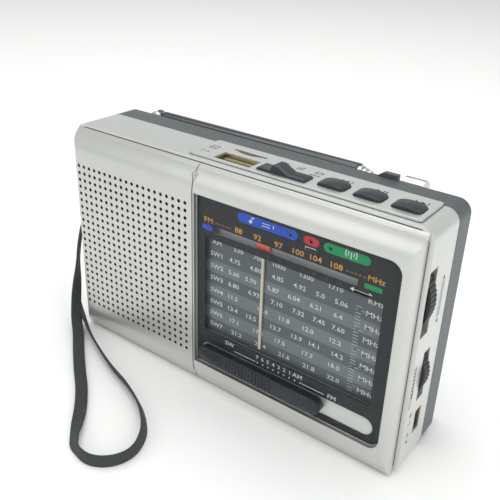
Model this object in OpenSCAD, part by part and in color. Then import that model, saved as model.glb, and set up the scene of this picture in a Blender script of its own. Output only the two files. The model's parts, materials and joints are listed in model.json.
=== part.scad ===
// Pocket shortwave receiver with a file player: silver front, slate rear shell, folded whip, wrist strap.
// +X to the right, +Y towards the back, +Z up. The origin is the middle of the base it stands on.

/* [Case] */
// Width of the case
case_w = 130; // [130:1:160]
// Height of the case
case_h = 79.3; // [79.3:0.1:100]
// Depth of the silver front half, from its face to the joint with the rear shell
front_depth = 20; // [20:0.5:26]
// Depth of the rear shell from that joint to the antenna ledge
rear_depth = 8.2; // [8:0.1:12]
// How far the back stands out behind the antenna ledge
hump_depth = 7; // [7:0.1:9]
// Wall of the front and rear shells
wall = 1.8; // [1.6:0.1:2.2]
// Radius of the four corners, seen from the front
corner_r = 4; // [4:0.5:6]

/* [Front] */
// Wall of the two front panels
panel_t = 1.8; // [1.6:0.1:2]
// Radius of the roll along the top of the face
roll_top_r = 10.5; // [9.5:0.5:12]
// Radius of the roll along the two sides of the face
roll_side_r = 3.3; // [2.6:0.1:3.6]
// Radius of the roll under the bottom of the face
roll_bottom_r = 19; // [15:1:25]
// Height of the border above the dial window
border_top = 9.5; // [9.5:0.1:12]
// Height of the border below the dial window
border_bottom = 8.8; // [8.6:0.1:11]
// Width of the border right of the dial window
border_side = 5.4; // [5:0.1:7]

/* [Speaker] */
// Columns of grille holes
grille_cols = 20; // [16:1:20]
// Rows of grille holes
grille_rows = 22; // [16:1:22]
// Spacing of the grille holes
grille_pitch = 2.54; // [2.2:0.01:2.54]
// Diameter of one grille hole
grille_hole_d = 1.2; // [0.8:0.05:1.6]
// Diameter of the loudspeaker
speaker_d = 50; // [40:1:50]
// Diameter of its magnet
magnet_d = 26; // [20:1:30]

/* [Controls] */
// Diameter of the tuning wheel
tuning_d = 28; // [25:0.5:29]
// Diameter of the volume wheel
volume_d = 21.6; // [18:0.2:22]
// How far each wheel stands out of the side
wheel_out = 1.2; // [0.8:0.1:1.6]
// Travel of the band slider, eight steps for nine bands
band_travel = 16; // [10:1:20]
// Travel of the mode slider
mode_travel = 2.6; // [1.5:0.1:2.6]
// Travel of a push button
button_travel = 0.7; // [0.4:0.1:0.8]
// Width of a push button
button_w = 8.3; // [7:0.1:8.8]
// Depth of a push button
button_d = 5.6; // [5:0.1:6]
// Travel of the pointer to the left of where it stands
pointer_left = 10; // [6:1:10]
// Travel of the pointer to the right of where it stands
pointer_right = 24; // [16:1:24]

/* [Antenna] */
// Diameter of the outer tube
tube_d = 6; // [5:0.1:6]
// Step in diameter from one section to the next
tube_step = 0.95; // [0.8:0.05:1]
// Length of the outer tube
tube_len = 70; // [55:1:70]
// Length of the polished tip
tip_len = 6.3; // [5:0.1:8]

/* [Power] */
// Width of the rechargeable pack
pack_w = 53.4; // [50:0.1:56]
// Height of the pack
pack_h = 33.8; // [30:0.1:36]
// Thickness of the pack
pack_t = 5.7; // [4.8:0.1:6]

/* [Fits] */
// Gap around parts that are pressed or laid in a seat
seat_gap = 0.1; // [0.08:0.01:0.15]
// Gap around parts that slide or turn by hand
slide_gap = 0.2; // [0.15:0.01:0.3]
// Radial clearance of a shaft in its bearing
shaft_gap = 0.06; // [0.03:0.01:0.09]

/* [Hidden] */
$fn = 64;
left = -case_w / 2;
right = case_w / 2;
face_y = -15;
split_y = face_y + front_depth;
ledge_y = split_y + rear_depth;
back_y = ledge_y + hump_depth;

// The rim of the front case, a little below its sides, where the front panels roll in
rim_y = face_y + 4.1;
rim_top = 1;
rim_side = 1.5;
roll_left_r = 2;
rim_bottom = 0.6;
lip_t = 1.1;
lip_depth = 2.4;

// Grille
grille_margin = 4.2;
grille_x = left + grille_margin;
seam_x = grille_x + (grille_cols - 1) * grille_pitch + 2.84;
grille_z = case_h / 2 - 0.7 - (grille_rows - 1) * grille_pitch / 2;
seam_gap = 0.2;
speaker_x = (left + seam_x) / 2 + 0.9;
speaker_z = case_h / 2 - 0.65;

// Dial window and what lies behind it, as distances behind the face
win_l = seam_x + 0.6;
win_r = right - border_side;
win_b = border_bottom;
win_t = case_h - border_top;
win_r_corner = 3.9;
ledge_w = 0.8;
win_front = 0.15;
win_back = 1.45;
bezel_t = 2.2;
led_back = 1.85;
strip_back = 2.25;
needle_front = 2.45;
needle_back = 3.05;
scale_front = 3.3;
scale_back = 3.8;
cord_y = face_y + 4.65;
cord_d = 0.5;
frame_front = 5.2;
frame_back = 6.4;
board_front = 17.2;
board_back = 18.8;

// Band slider
slot_r = 2.95;
slot_l = win_l + 2.6;
slot_end = win_r - 2.9;
slot_z = win_b + 5.75;
band_r = slot_r - 0.3;
band_out = 1.4;
band_l = slot_l + 0.3;
band_len = slot_end - 0.3 - band_travel - band_l;
band_stem = 4;
band_stem_x = band_l + band_len / 2;
band_stem_end = 11.2;
track_back = 2.15;

// Tuning wheel, its drum and the pointer
tuning_x = right + wheel_out - tuning_d / 2;
tuning_z = case_h - 21.9;
wheel_front = 5.2;
wheel_back = 8.9;
drum_front = 4.35;
drum_r = 10.4;
tuning_slot_h = 20;
capacitor_w = 16;
tuning_shaft_r = 2.95;
pointer_x = tuning_x - 36.7;
pointer_w = 2.4;
cord_top = tuning_z + drum_r;
cord_low = tuning_z - drum_r;
post_r = 3;
post_x = win_l + 6.2;
rail_z = cord_top - 3.8;
tab_z = rail_z - 6.4;
tab_spine = 0.25;

// Volume wheel and charging socket
volume_x = right + wheel_out - volume_d / 2;
volume_z = 32;
volume_front = 10.2;
volume_back = 13.6;
volume_shaft_r = 2.5;
volume_slot_h = 16.5;
charge_z = 15.2;
charge_front = 11;
charge_back = 15.2;

// Raised panel on the top and what comes through it, from the right side
top_r = right - 4.8;
top_l = top_r - 75.8;
top_front = face_y + 5.6;
top_rise = 0.75;
top_z = case_h + top_rise;
top_under = case_h - top_rise;
usb_x = right - 65.15;
usb_w = 13.2;
usb_t = 5.7;
usb_y = face_y + 9.4;
card_x = right - 65.05;
card_w = 12.3;
card_y = face_y + 16.15;
card_t = 1.3;
mode_x = right - 48.65;
mode_w = 16.5;
mode_y = face_y + 9.3;
mode_d = 4.8;
mode_stem_w = 5;
button_x = [for (i = [0:2]) right - 32.9 + 11.15 * i];
button_y = face_y + 8.2 + button_d / 2;
button_out = 1;
button_r = 1.2;
frame_screw_r = 0.7;
link_front = 12.6;
link_back = 13.8;

// Bosses, columns and screws
boss_r = 2.6;
screw_r = 1.1;
head_r = 2.1;
boss_low = 6;
boss_high = case_h - 8.8;
boss_side = 5.5;
boss_x = [left + boss_side, right - boss_side];
boss_z = [boss_low, boss_high];
bezel_posts = [[win_l + 2.5, 5.4], [right - 18, 5.4], [mode_x - 8.15, case_h - 4.6],
    [right - 18, case_h - 4.6]];
frame_posts = [[win_l + 7, 5.4], [right - 22, 5.4], [win_l + 2.5, tuning_z + 5.2],
    [tuning_x - 17.7, tuning_z + 5.2]];

// Rear shell
hump_side = 2.6;
hump_low = 1.5;
ledge_z = case_h - 6;
hump_r = 3;

// Antenna
whip_r = tube_d / 2;
whip_y = ledge_y + 4;
whip_z = ledge_z + 3.3;
pivot_x = left + 11.4;
pivot_r = 2.9;
blade_t = 1.9;
post_shaft_r = 1.8;
screw_head_r = 2.1;
root_start = 3.2;
root_len = 8.8;
tube_x = pivot_x + root_start + root_len;
section_r = [for (i = [0:4]) whip_r - i * tube_step / 2];
section_out = 1.4;
section_bore_gap = 0.05;
base_gap = 2;
rest_l = pivot_x + 90.6;
rest_w = 6;
rest_top = case_h + 1.4;
rest_d = 1.1;
rod_end = rest_l + rest_w + 0.5;

// Battery bay in the rear shell, and its door
bay_gap = 0.6;
bay_wall = 1.4;
door_t = 1.8;
door_rim = 2.2;
pack_x = left + 68;
pack_z = 34;
pack_back = back_y - door_t - 0.4;
door_w = pack_w + 2 * door_rim;
door_h = pack_h + 2 * door_rim;
door_pivot_z = pack_z - door_h / 2 + door_t / 2;

// Strap
strap_d = 1.6;
strap_y = face_y + 6.6;
strap_z = 46.2;
strap_bar_x = left - 2.2;
bar_r = 0.4;
bar_half = 1.8;
tab_low = 43;
tab_t = 3.4;
strap_sides = 8;
// The route is drawn for a case whose left side is here
route_left = -65;
// Both ends leave the sewn tab beside each other; the loop lies on the table in front of the case
strap_route = [
    [-66.4, -8.6, 43.4], [-67.8, -10.6, 39], [-68.4, -12.2, 34.6], [-68, -13.8, 28], [-67.6, -15, 20],
    [-67.2, -16.4, 11], [-64.8, -18.8, 4.6], [-60, -22.4, 1.8], [-52.8, -28.4, 1.1], [-43.5, -35.8, 1.1],
    [-34.6, -42.6, 1.1], [-27.2, -49.4, 1.2], [-21.2, -56, 1.5], [-17, -60.4, 1.8], [-12.4, -62.8, 2],
    [-7.8, -63, 2], [-4, -61.2, 2], [-1.2, -58, 2], [0, -54, 2], [-0.8, -49.6, 2], [-4.4, -43.8, 2],
    [-12, -37.8, 2], [-22.4, -33, 2], [-35, -29, 2], [-47.4, -24, 2], [-57.4, -19.4, 2.2],
    [-64.4, -16, 4.4], [-68.2, -14.2, 10.5], [-69.4, -13.4, 19], [-69.9, -12, 28], [-70.2, -10.4, 34.6],
    [-69.4, -9, 39.4], [-68.4, -8.2, 43.4]];
strap_steps = 2;

// ---- helpers ----

// Distance behind the face
function at(d) = face_y + d;

// A block from one corner to the other
module block(x0, x1, y0, y1, z0, z1) {
    translate([x0, y0, z0]) cube([x1 - x0, y1 - y0, z1 - z0]);
}

// Extrudes a shape drawn in X and Z from y0 to y1
module along_y(y0, y1) {
    translate([0, y1, 0]) rotate([90, 0, 0]) linear_extrude(y1 - y0) children();
}

// Extrudes a shape drawn in Y and Z from x0 to x1
module along_x(x0, x1) {
    translate([x0, 0, 0]) rotate([90, 0, 90]) linear_extrude(x1 - x0) children();
}

module rod_y(x, z, y0, y1, r) {
    along_y(y0, y1) translate([x, z]) circle(r);
}

module rod_x(y, z, x0, x1, r) {
    along_x(x0, x1) translate([y, z]) circle(r);
}

module rod_z(x, y, z0, z1, r) {
    translate([x, y, z0]) cylinder(h = z1 - z0, r = r);
}

// A flat rectangle between two corners
module box2(x0, y0, x1, y1) {
    translate([x0, y0]) square([x1 - x0, y1 - y0]);
}

// A rectangle with round corners
module round2(x0, y0, x1, y1, r) {
    box2(x0 + r, y0, x1 - r, y1);
    box2(x0, y0 + r, x1, y1 - r);
    for (x = [x0 + r, x1 - r], y = [y0 + r, y1 - r]) translate([x, y]) circle(r);
}

// The case seen from the front, drawn in from its sides by inset
module case_outline(inset = 0) {
    round2(left + inset, inset, right - inset, case_h - inset, max(corner_r - inset, 0.5));
}

// The hump of the rear shell seen from the back
module hump_outline(inset = 0) {
    round2(left + hump_side + inset, hump_low + inset, right - hump_side - inset, ledge_z - inset,
        max(hump_r - inset, 0.5));
}

// Side view of the face: flat in the middle, rolled back at the top and under at the bottom
module face_side(t) {
    flat_top = case_h - border_top + 0.2;
    flat_low = border_bottom + 0.7;
    deep = rim_y + 1;
    box2(at(t), flat_low, deep, flat_top);
    intersection() {
        translate([at(roll_top_r), flat_top]) circle(roll_top_r - t);
        box2(at(t), flat_top - 1, deep, case_h - rim_top - t);
    }
    intersection() {
        translate([at(roll_bottom_r), flat_low]) circle(roll_bottom_r - t);
        box2(at(t), rim_bottom + t, deep, flat_low + 1);
    }
}

// Top view of the face: flat in the middle, rolled back at both sides
module face_plan(t) {
    deep = rim_y + 1;
    flat_l = left + rim_side + roll_left_r;
    flat_r = right - rim_side - roll_side_r;
    box2(flat_l, at(t), flat_r, deep);
    box2(left + rim_side + t, at(roll_left_r), flat_l + 0.1, deep);
    box2(flat_r - 0.1, at(roll_side_r), right - rim_side - t, deep);
    for (c = [[flat_l, roll_left_r], [flat_r, roll_side_r]]) intersection() {
        translate([c[0], at(c[1])]) circle(max(c[1] - t, 0.1));
        box2(left, at(t), right, deep);
    }
}

// The block behind the face, drawn in by t
module face_block(t) {
    intersection() {
        along_x(left, right) face_side(t);
        linear_extrude(case_h) face_plan(t);
    }
}

// The curved shell of the face between x0 and x1
module face_shell(x0, x1, t) {
    intersection() {
        difference() {
            face_block(0);
            face_block(t);
        }
        block(x0, x1, face_y - 1, rim_y, 0, case_h);
    }
}

// The lip that locates a front panel in the case, between x0 and x1
module face_lip(x0, x1) {
    along_y(rim_y - 1.2, rim_y + lip_depth) intersection() {
        difference() {
            case_outline(wall + seat_gap);
            case_outline(wall + seat_gap + lip_t);
        }
        union() {
            box2(x0, 0, x1, 10);
            box2(x0, case_h - 8, x1, case_h);
        }
    }
}

// The dial window's outline, square at the seam and round at the right
module window_outline(inset) {
    x1 = win_r - inset;
    z0 = win_b + inset;
    z1 = win_t - inset;
    r = win_r_corner - inset;
    box2(win_l + inset, z0, x1 - r, z1);
    box2(x1 - r - 0.01, z0 + r, x1, z1 - r);
    for (z = [z0 + r, z1 - r]) translate([x1 - r, z]) circle(r);
}

// A slot with round ends
module stadium(x0, x1, z, r) {
    box2(x0 + r, z - r, x1 - r, z + r);
    for (x = [x0 + r, x1 - r]) translate([x, z]) circle(r);
}

module each_boss() {
    for (x = boss_x, z = boss_z) translate([x, z]) children();
}

module each_bezel_post() {
    for (p = bezel_posts) translate(p) children();
}

module each_frame_post() {
    for (p = frame_posts) translate(p) children();
}

// ---- shells ----

module front_case() {
    color("gainsboro") difference() {
        union() {
            along_y(rim_y, split_y) difference() {
                case_outline();
                case_outline(wall);
            }
            // screw bosses, each on a rib from the side
            along_y(at(10), split_y - seat_gap) intersection() {
                union() {
                    each_boss() circle(boss_r);
                    for (z = boss_z) {
                        box2(left, z - 0.8, boss_x[0], z + 0.8);
                        box2(boss_x[1], z - 0.8, right, z + 0.8);
                    }
                }
                case_outline(wall / 2);
            }
        }
        along_y(at(11), split_y + 1) each_boss() circle(screw_r - seat_gap);
        // seat and opening for the raised panel on top
        block(top_l - seat_gap, top_r + seat_gap, top_front - seat_gap, split_y + 1, top_under, case_h + 1);
        block(top_l + 4, top_r - 0.6, top_front + 0.6, split_y - 2.4, case_h - wall - 1, case_h);
        // slots for the wheels, with scooped ends
        along_x(right - wall - 1, right + 1) {
            box2(at(wheel_front - 0.7), tuning_z - tuning_slot_h / 2,
                at(wheel_back + 0.5), tuning_z + tuning_slot_h / 2);
            box2(at(volume_front - 0.3), volume_z - volume_slot_h / 2,
                at(volume_back + 0.5), volume_z + volume_slot_h / 2);
        }
        along_x(right - wall - 1, right + 1)
            box2(at(charge_front), charge_z - 4.1, at(charge_back), charge_z + 4.1);
        // holes for the strap's staple
        for (y = [strap_y - bar_half, strap_y + bar_half])
            rod_x(y, strap_z, left - 1, left + wall + 1, bar_r + seat_gap);
    }
}

module speaker_grille() {
    x1 = seam_x - seam_gap / 2;
    color("whitesmoke") difference() {
        union() {
            face_shell(left, x1, panel_t);
            face_lip(left, x1);
            // rib along the seam, and studs round the loudspeaker
            block(x1 - 1.4, x1, at(1), rim_y + lip_depth, 3, case_h - 3.2);
            for (a = [73, 107, -107, -73]) translate([speaker_x, 0, speaker_z])
                rod_y((speaker_d / 2 + 1.45) * cos(a), (speaker_d / 2 + 1.45) * sin(a), at(panel_t - 0.4), at(4.2), 0.9);
        }
        along_y(face_y - 1, at(panel_t + 0.3))
            for (i = [0:grille_cols - 1], j = [0:grille_rows - 1])
                translate([grille_x + i * grille_pitch, grille_z + j * grille_pitch])
                    circle(grille_hole_d / 2, $fn = 16);
    }
}

module dial_bezel() {
    x0 = seam_x + seam_gap / 2;
    color("whitesmoke") difference() {
        union() {
            face_shell(x0, right, bezel_t);
            face_lip(x0, right - 8);
            block(x0, x0 + 0.5, at(0.5), rim_y + lip_depth, 3, case_h - 3.2);
            // posts that carry the dial frame
            intersection() {
                along_y(at(0.4), at(frame_front)) each_bezel_post() circle(1.8);
                face_block(0.5);
            }
            along_y(rim_y, at(frame_front)) each_bezel_post() circle(1.8);
        }
        along_y(face_y - 1, at(win_back + 0.05)) window_outline(0);
        along_y(face_y, at(bezel_t + 1)) window_outline(ledge_w);
        along_y(at(2.8), at(frame_front + 1)) each_bezel_post() circle(frame_screw_r - seat_gap);
    }
}

module rear_case() {
    color("slategray") difference() {
        union() {
            difference() {
                along_y(split_y, ledge_y) case_outline();
                along_y(split_y - 1, ledge_y - wall) case_outline(wall);
                along_y(split_y, ledge_y + 1) hump_outline(wall);
            }
            // screw columns
            along_y(split_y, ledge_y) intersection() {
                each_boss() circle(boss_r + 0.6);
                case_outline(wall / 2);
            }
        }
        along_y(split_y - 1, ledge_y + 1) each_boss() circle(screw_r + slide_gap);
    }
}

// The back cover stands out behind the rear case and holds the battery bay
module back_cover() {
    screw_wall = back_y - 2.6;
    front = ledge_y + 0.02;
    color("slategray") difference() {
        union() {
            difference() {
                along_y(front, back_y) hump_outline();
                along_y(front - 1, back_y - wall) hump_outline(wall);
            }
            along_y(front, back_y - 1) intersection() {
                each_boss() circle(boss_r + 0.6);
                hump_outline(wall / 2);
            }
            // battery bay
            along_y(pack_back - pack_t - bay_gap - bay_wall, back_y - 1)
                box2(pack_x - door_w / 2 - bay_wall, pack_z - door_h / 2 - bay_wall,
                    pack_x + door_w / 2 + bay_wall, pack_z + door_h / 2 + bay_wall);
            // boss around the antenna's swivel
            rod_z(pivot_x, whip_y, ledge_z - 5, ledge_z, post_shaft_r + 1.2);
        }
        along_y(front - 1, back_y + 1) each_boss() circle(screw_r + slide_gap);
        along_y(screw_wall, back_y + 1) each_boss() circle(head_r + slide_gap);
        // battery bay and door seat
        along_y(pack_back - pack_t - bay_gap, back_y + 1)
            round2(pack_x - pack_w / 2 - bay_gap, pack_z - pack_h / 2 - bay_gap,
                pack_x + pack_w / 2 + bay_gap, pack_z + pack_h / 2 + bay_gap, 1);
        block(pack_x - door_w / 2 - slide_gap, pack_x + door_w / 2 + slide_gap, back_y - door_t - 0.15,
            back_y + 1, pack_z - door_h / 2 - slide_gap - 0.2, pack_z + door_h / 2 + slide_gap);
        rod_z(pivot_x, whip_y, ledge_z - 6, ledge_z + 1, post_shaft_r + shaft_gap);
        rod_z(pivot_x, whip_y, ledge_z - 6.6, ledge_z - 5, screw_head_r + slide_gap);
    }
}

// A low clip hooked over the edge of the shell in front of the antenna's thin end
module antenna_rest() {
    color("slategray") difference() {
        along_y(ledge_y - 0.6, ledge_y + rest_d) rest_outline();
        block(rest_l - 1, rest_l + rest_w + 1, ledge_y - 2, ledge_y + 0.02, case_h - 5, case_h + 0.02);
    }
}

// The antenna rest seen from the front: a low bump with a sloping left side
module rest_outline() {
    low = case_h - wall;
    polygon([[rest_l - 0.4, low], [rest_l - 0.4, case_h], [rest_l + 1.6, rest_top],
        [rest_l + rest_w, rest_top], [rest_l + rest_w, low]]);
}

module battery_door() {
    z0 = pack_z - door_h / 2;
    z1 = pack_z + door_h / 2;
    color("slategray") difference() {
        union() {
            block(pack_x - door_w / 2, pack_x + door_w / 2, back_y - door_t, back_y, door_pivot_z, z1);
            rod_x(back_y - door_t / 2, door_pivot_z, pack_x - door_w / 2, pack_x + door_w / 2, door_t / 2);
        }
        // finger notch and grip ribs
        along_y(back_y - 0.5, back_y + 1) translate([pack_x, z1 - 5]) circle(4.2);
        for (i = [0:3])
            block(pack_x - 10, pack_x + 10, back_y - 0.3, back_y + 1, z0 + 12 + i * 1.6, z0 + 12.7 + i * 1.6);
    }
}

module top_panel() {
    scoop_r = 11;
    color("gainsboro") difference() {
        translate([0, 0, top_under]) linear_extrude(top_z - top_under)
            round2(top_l, top_front, top_r, split_y, 1);
        translate([0, 0, top_under - 1]) linear_extrude(4) {
            box2(usb_x - usb_w / 2 - slide_gap, usb_y - usb_t / 2 - slide_gap,
                usb_x + usb_w / 2 + slide_gap, usb_y + usb_t / 2 + slide_gap);
            box2(card_x - card_w / 2, card_y - card_t / 2, card_x + card_w / 2, card_y + card_t / 2);
            box2(mode_x - mode_stem_w / 2 - slide_gap, mode_y - 1.2,
                mode_x + mode_stem_w / 2 + mode_travel + slide_gap, mode_y + 1.2);
            for (x = button_x)
                round2(x - button_w / 2 - slide_gap, button_y - button_d / 2 - slide_gap,
                    x + button_w / 2 + slide_gap, button_y + button_d / 2 + slide_gap,
                    button_r + slide_gap);
        }
        // finger scoop in front of the card slit
        translate([card_x, card_y + scoop_r - 1.65, top_z - 0.5]) intersection() {
            cylinder(h = 2, r = scoop_r);
            translate([-card_w / 2, -scoop_r, 0]) cube([card_w, 1.65, 2]);
        }
    }
}

module case_screws() {
    color("dimgray") each_case_screw();
}

module each_case_screw() {
    for (x = boss_x, z = boss_z) {
        rod_y(x, z, back_y - 2.5, back_y - 1.1, head_r);
        difference() {
            rod_y(x, z, at(12), back_y - 2.4, screw_r);
            block(x - 2, x + 2, back_y - 1.9, back_y, z - 0.2, z + 0.2);
        }
    }
}

// ---- dial ----

module dial_window() {
    color([0.1, 0.11, 0.13]) along_y(at(win_front), at(win_back)) difference() {
        window_outline(seat_gap);
        stadium(slot_l, slot_end, slot_z, slot_r);
    }
}

module dial_scale() {
    color("slategray") along_y(at(scale_front), at(scale_back))
        box2(win_l + 1.6, slot_z + slot_r + 1.6, right - wall - 4.4, rail_z - 1.6);
}

module dial_frame() {
    color("ivory") difference() {
        union() {
            along_y(at(frame_front), at(frame_back)) difference() {
                box2(win_l + 0.8, 3.6, right - wall - 1.4, case_h - 3.2);
                translate([tuning_x, tuning_z]) circle(tuning_d / 2 + 0.6);
                box2(tuning_x, tuning_z - tuning_d / 2 - 0.6, right, tuning_z + tuning_d / 2 + 0.6);
                stadium(band_stem_x - 3.4, band_stem_x + band_travel + 3.4, slot_z, 2);
            }
            // posts back to the main board
            along_y(at(frame_back), at(board_front)) each_frame_post() circle(1.9);
            // pads under the scale, the pointer's rail and the two guide posts for the cord
            for (x = [win_l + 9, win_l + 40], z = [slot_z + slot_r + 3.4, tuning_z - drum_r + 6])
                rod_y(x, z, at(scale_back + 0.02), at(frame_front), 1);
            block(pointer_x - pointer_left - 3, pointer_x + pointer_right + 1.2,
                at(scale_front), at(frame_front), rail_z - 0.6, rail_z + 0.6);
            for (z = [cord_top - post_r, cord_low + post_r])
                rod_y(post_x, z, at(scale_back + 0.1), at(frame_front), post_r - cord_d / 2 - 0.02);
        }
        along_y(at(frame_front + 2), at(board_front + 1)) each_frame_post() circle(frame_screw_r - seat_gap);
        along_y(at(frame_front) - 1, at(frame_back) + 1) each_bezel_post() circle(frame_screw_r + slide_gap);
    }
}

module dial_pointer() {
    low = slot_z + slot_r + 5.6;
    color("ivory") {
        block(pointer_x - 0.4, pointer_x + 0.4, at(needle_front), at(needle_back), low, tab_z);
        difference() {
            union() {
                block(pointer_x - pointer_w / 2, pointer_x + pointer_w / 2, at(needle_front), at(needle_back),
                    tab_z + 2.2, cord_top + 0.9);
                block(pointer_x - 1, pointer_x + 1, at(needle_back) - tab_spine, at(needle_back),
                    tab_z - 0.4, tab_z + 2.3);
                block(pointer_x - pointer_w / 2, pointer_x + pointer_w / 2, at(needle_back) - 0.1,
                    at(4.95), cord_top - 1.1, cord_top + 0.9);
                // two fingers that hold the rail
                for (z = [rail_z - 1.5, rail_z + 0.8])
                    block(pointer_x - pointer_w / 2, pointer_x + pointer_w / 2, at(needle_back) - 0.1,
                        at(4.95), z, z + 0.7);
            }
            block(pointer_x - 3, pointer_x + 3, cord_y - 0.32, at(6), cord_top - 0.32, cord_top + 2);
        }
    }
}

module pointer_tab() {
    color("tomato") block(pointer_x - 2.3, pointer_x + 2.3, at(needle_front), at(needle_back) - tab_spine,
        tab_z, tab_z + 2.2);
}

// One round turn of the dial cord about a post or the drum, from angle a over sweep
module cord_bend(x, z, r, a, sweep) {
    translate([x, cord_y, z]) rotate([90, 0, 0]) rotate([0, 0, a])
        rotate_extrude(angle = sweep) translate([r, 0]) circle(cord_d / 2, $fn = 16);
}

module dial_cord() {
    color("tan") {
        for (z = [cord_low, cord_top])
            rod_x(cord_y, z, post_x, tuning_x, cord_d / 2, $fn = 16);
        rod_z(post_x - post_r, cord_y, cord_low + post_r, cord_top - post_r, cord_d / 2, $fn = 16);
        cord_bend(post_x, cord_top - post_r, post_r, 90, 90);
        cord_bend(post_x, cord_low + post_r, post_r, 180, 90);
        cord_bend(tuning_x, tuning_z, drum_r, -90, 180);
    }
}

led_x = [win_l + 35, win_l + 42.1, win_l + 47.6];
led_z = win_t - 2.3;

module indicator_strip() {
    color("darkgreen") block(led_x[0] - 4, led_x[2] + 4, at(led_back), at(strip_back), led_z - 1.4,
        win_t - ledge_w - 0.1);
}

module indicator_leds() {
    color("lightyellow") for (x = led_x)
        block(x - 0.8, x + 0.8, at(win_back + 0.02), at(led_back), led_z - 0.5, led_z + 0.5);
}

module slider_track() {
    color("gainsboro") along_y(at(win_back + seat_gap), at(track_back)) difference() {
        box2(slot_l - 1.5, slot_z - slot_r - 1, slot_end + 0.9, slot_z + slot_r + 1);
        stadium(band_stem_x - band_stem / 2 - 0.8, band_stem_x + band_stem / 2 + band_travel + 0.8,
            slot_z, 1.6);
    }
}

module band_knob() {
    ribs = 14;
    rib_from = band_l + 11.5;
    color([0.12, 0.13, 0.15]) difference() {
        union() {
            along_y(face_y - band_out, at(win_back)) stadium(band_l, band_l + band_len, slot_z, band_r);
            block(band_stem_x - band_stem / 2, band_stem_x + band_stem / 2, at(win_back) - 0.1,
                at(band_stem_end), slot_z - 1.3, slot_z + 1.3);
        }
        for (i = [0:ribs - 1])
            block(rib_from + i * 1.3, rib_from + i * 1.3 + 0.6, face_y - band_out - 1,
                face_y - band_out + 0.4, slot_z - band_r - 1, slot_z + band_r + 1);
    }
}

module band_switch() {
    color("silver") difference() {
        block(band_stem_x - 12, band_stem_x + band_travel + 12, at(9.6), at(board_front) - seat_gap,
            slot_z - 4, slot_z + 4);
        block(band_stem_x - band_stem / 2 - 0.8, band_stem_x + band_stem / 2 + band_travel + 0.8, at(9),
            at(band_stem_end + 0.4), slot_z - 1.6, slot_z + 1.6);
    }
}

// ---- top ----

module usb_socket() {
    skin = 0.35;
    low = case_h - 13.2;
    top = top_z - 0.15;
    color("darkkhaki") difference() {
        block(usb_x - usb_w / 2, usb_x + usb_w / 2, usb_y - usb_t / 2, usb_y + usb_t / 2, low, top);
        block(usb_x - usb_w / 2 + skin, usb_x + usb_w / 2 - skin, usb_y - usb_t / 2 + skin,
            usb_y + usb_t / 2 - skin, low + 2, top + 1);
    }
    color("black") block(usb_x - 5.6, usb_x + 5.6, usb_y + 0.3, usb_y + 2.1, low + 1.9, top - 1);
}

module card_socket() {
    low = case_h - 14.5;
    color("silver") difference() {
        block(card_x - 7.2, card_x + 7.2, card_y - 0.9, at(board_front) - 0.02, low, case_h - wall - 0.4);
        block(card_x - card_w / 2 + 0.3, card_x + card_w / 2 - 0.3, card_y - 0.45, card_y + 0.45,
            low + 1, case_h);
    }
}

// Side view of the mode slider: a low plate with a ridge to push against
module mode_outline() {
    x0 = mode_x - mode_w / 2 + 0.5;
    base = top_z + 0.05;
    polygon([[x0, base], [x0 + mode_w, base], [x0 + mode_w, base + 0.3], [x0 + mode_w - 0.8, base + 0.6],
        [x0 + 10.6, base + 0.6], [x0 + 7.2, base + 2.4], [x0 + 5.6, base + 2.4], [x0 + 4.6, base + 0.6],
        [x0 + 0.4, base + 0.6], [x0, base + 0.3]]);
}

module mode_knob() {
    color([0.12, 0.13, 0.15]) {
        along_y(mode_y - mode_d / 2, mode_y + mode_d / 2) mode_outline();
        block(mode_x - mode_stem_w / 2, mode_x + mode_stem_w / 2, mode_y - 1, mode_y + 1,
            case_h - 5, top_z + 0.1);
    }
}

module mode_switch() {
    color("silver") difference() {
        block(mode_x - 6, mode_x + 6 + mode_travel, mode_y - 2.2, at(link_front) - 0.02,
            case_h - 8.6, case_h - wall - 0.4);
        block(mode_x - mode_stem_w / 2 - 0.3, mode_x + mode_stem_w / 2 + mode_travel + 0.3,
            mode_y - 1.3, mode_y + 1.3, case_h - 5.4, case_h);
    }
}

// One push button: a cap with a convex top, a flange under the panel and a plunger
module push_button(x) {
    crown_r = 14;
    cap_top = top_z + button_out;
    flange_top = top_under - 0.05;
    color([0.12, 0.13, 0.15]) {
        intersection() {
            translate([0, 0, flange_top - 0.1]) linear_extrude(cap_top - flange_top + 0.2)
                round2(x - button_w / 2, button_y - button_d / 2, x + button_w / 2,
                    button_y + button_d / 2, button_r);
            rod_y(x, cap_top - crown_r, button_y - button_d, button_y + button_d, crown_r);
        }
        block(x - button_w / 2 - 0.7, x + button_w / 2 + 0.7, button_y - button_d / 2 + 0.6,
            button_y + button_d / 2 - 0.6, flange_top - 0.8, flange_top);
        block(x - 1.6, x + 1.6, face_y + 9.2, face_y + 12.2, case_h - 3.4, flange_top - 0.7);
    }
}

module back_button() { push_button(button_x[0]); }

module play_button() { push_button(button_x[1]); }

module forward_button() { push_button(button_x[2]); }

module button_switches() {
    stem_top = case_h - 3.4 - button_travel - 0.05;
    color("dimgray") for (x = button_x) {
        block(x - 2.3, x + 2.3, at(8.9), at(link_front) - 0.02, case_h - 9.3, stem_top - 1);
        rod_z(x, at(10.7), stem_top - 1.1, stem_top, 1.5);
    }
}

module player_board() {
    color("darkgreen") {
        block(top_l + 2, right - 8.3, at(link_front), at(link_back), case_h - 12.8, case_h - 3);
        // pin headers to the main board
        for (x = [usb_x - 13, mode_x + 1]) for (i = [0:2])
            block(x + i * 2.54, x + i * 2.54 + 0.64, at(link_back) - 0.1, at(board_front) - 0.01,
                case_h - 11.6, case_h - 10.96);
    }
}

// ---- right side ----

// A thumbwheel with a notched edge
module thumbwheel_outline(x, z, r, notches) {
    difference() {
        translate([x, z]) circle(r);
        for (i = [0:notches - 1])
            translate([x, z]) rotate(i * 360 / notches) translate([r + 0.12, 0]) circle(0.36, $fn = 16);
    }
}

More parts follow.
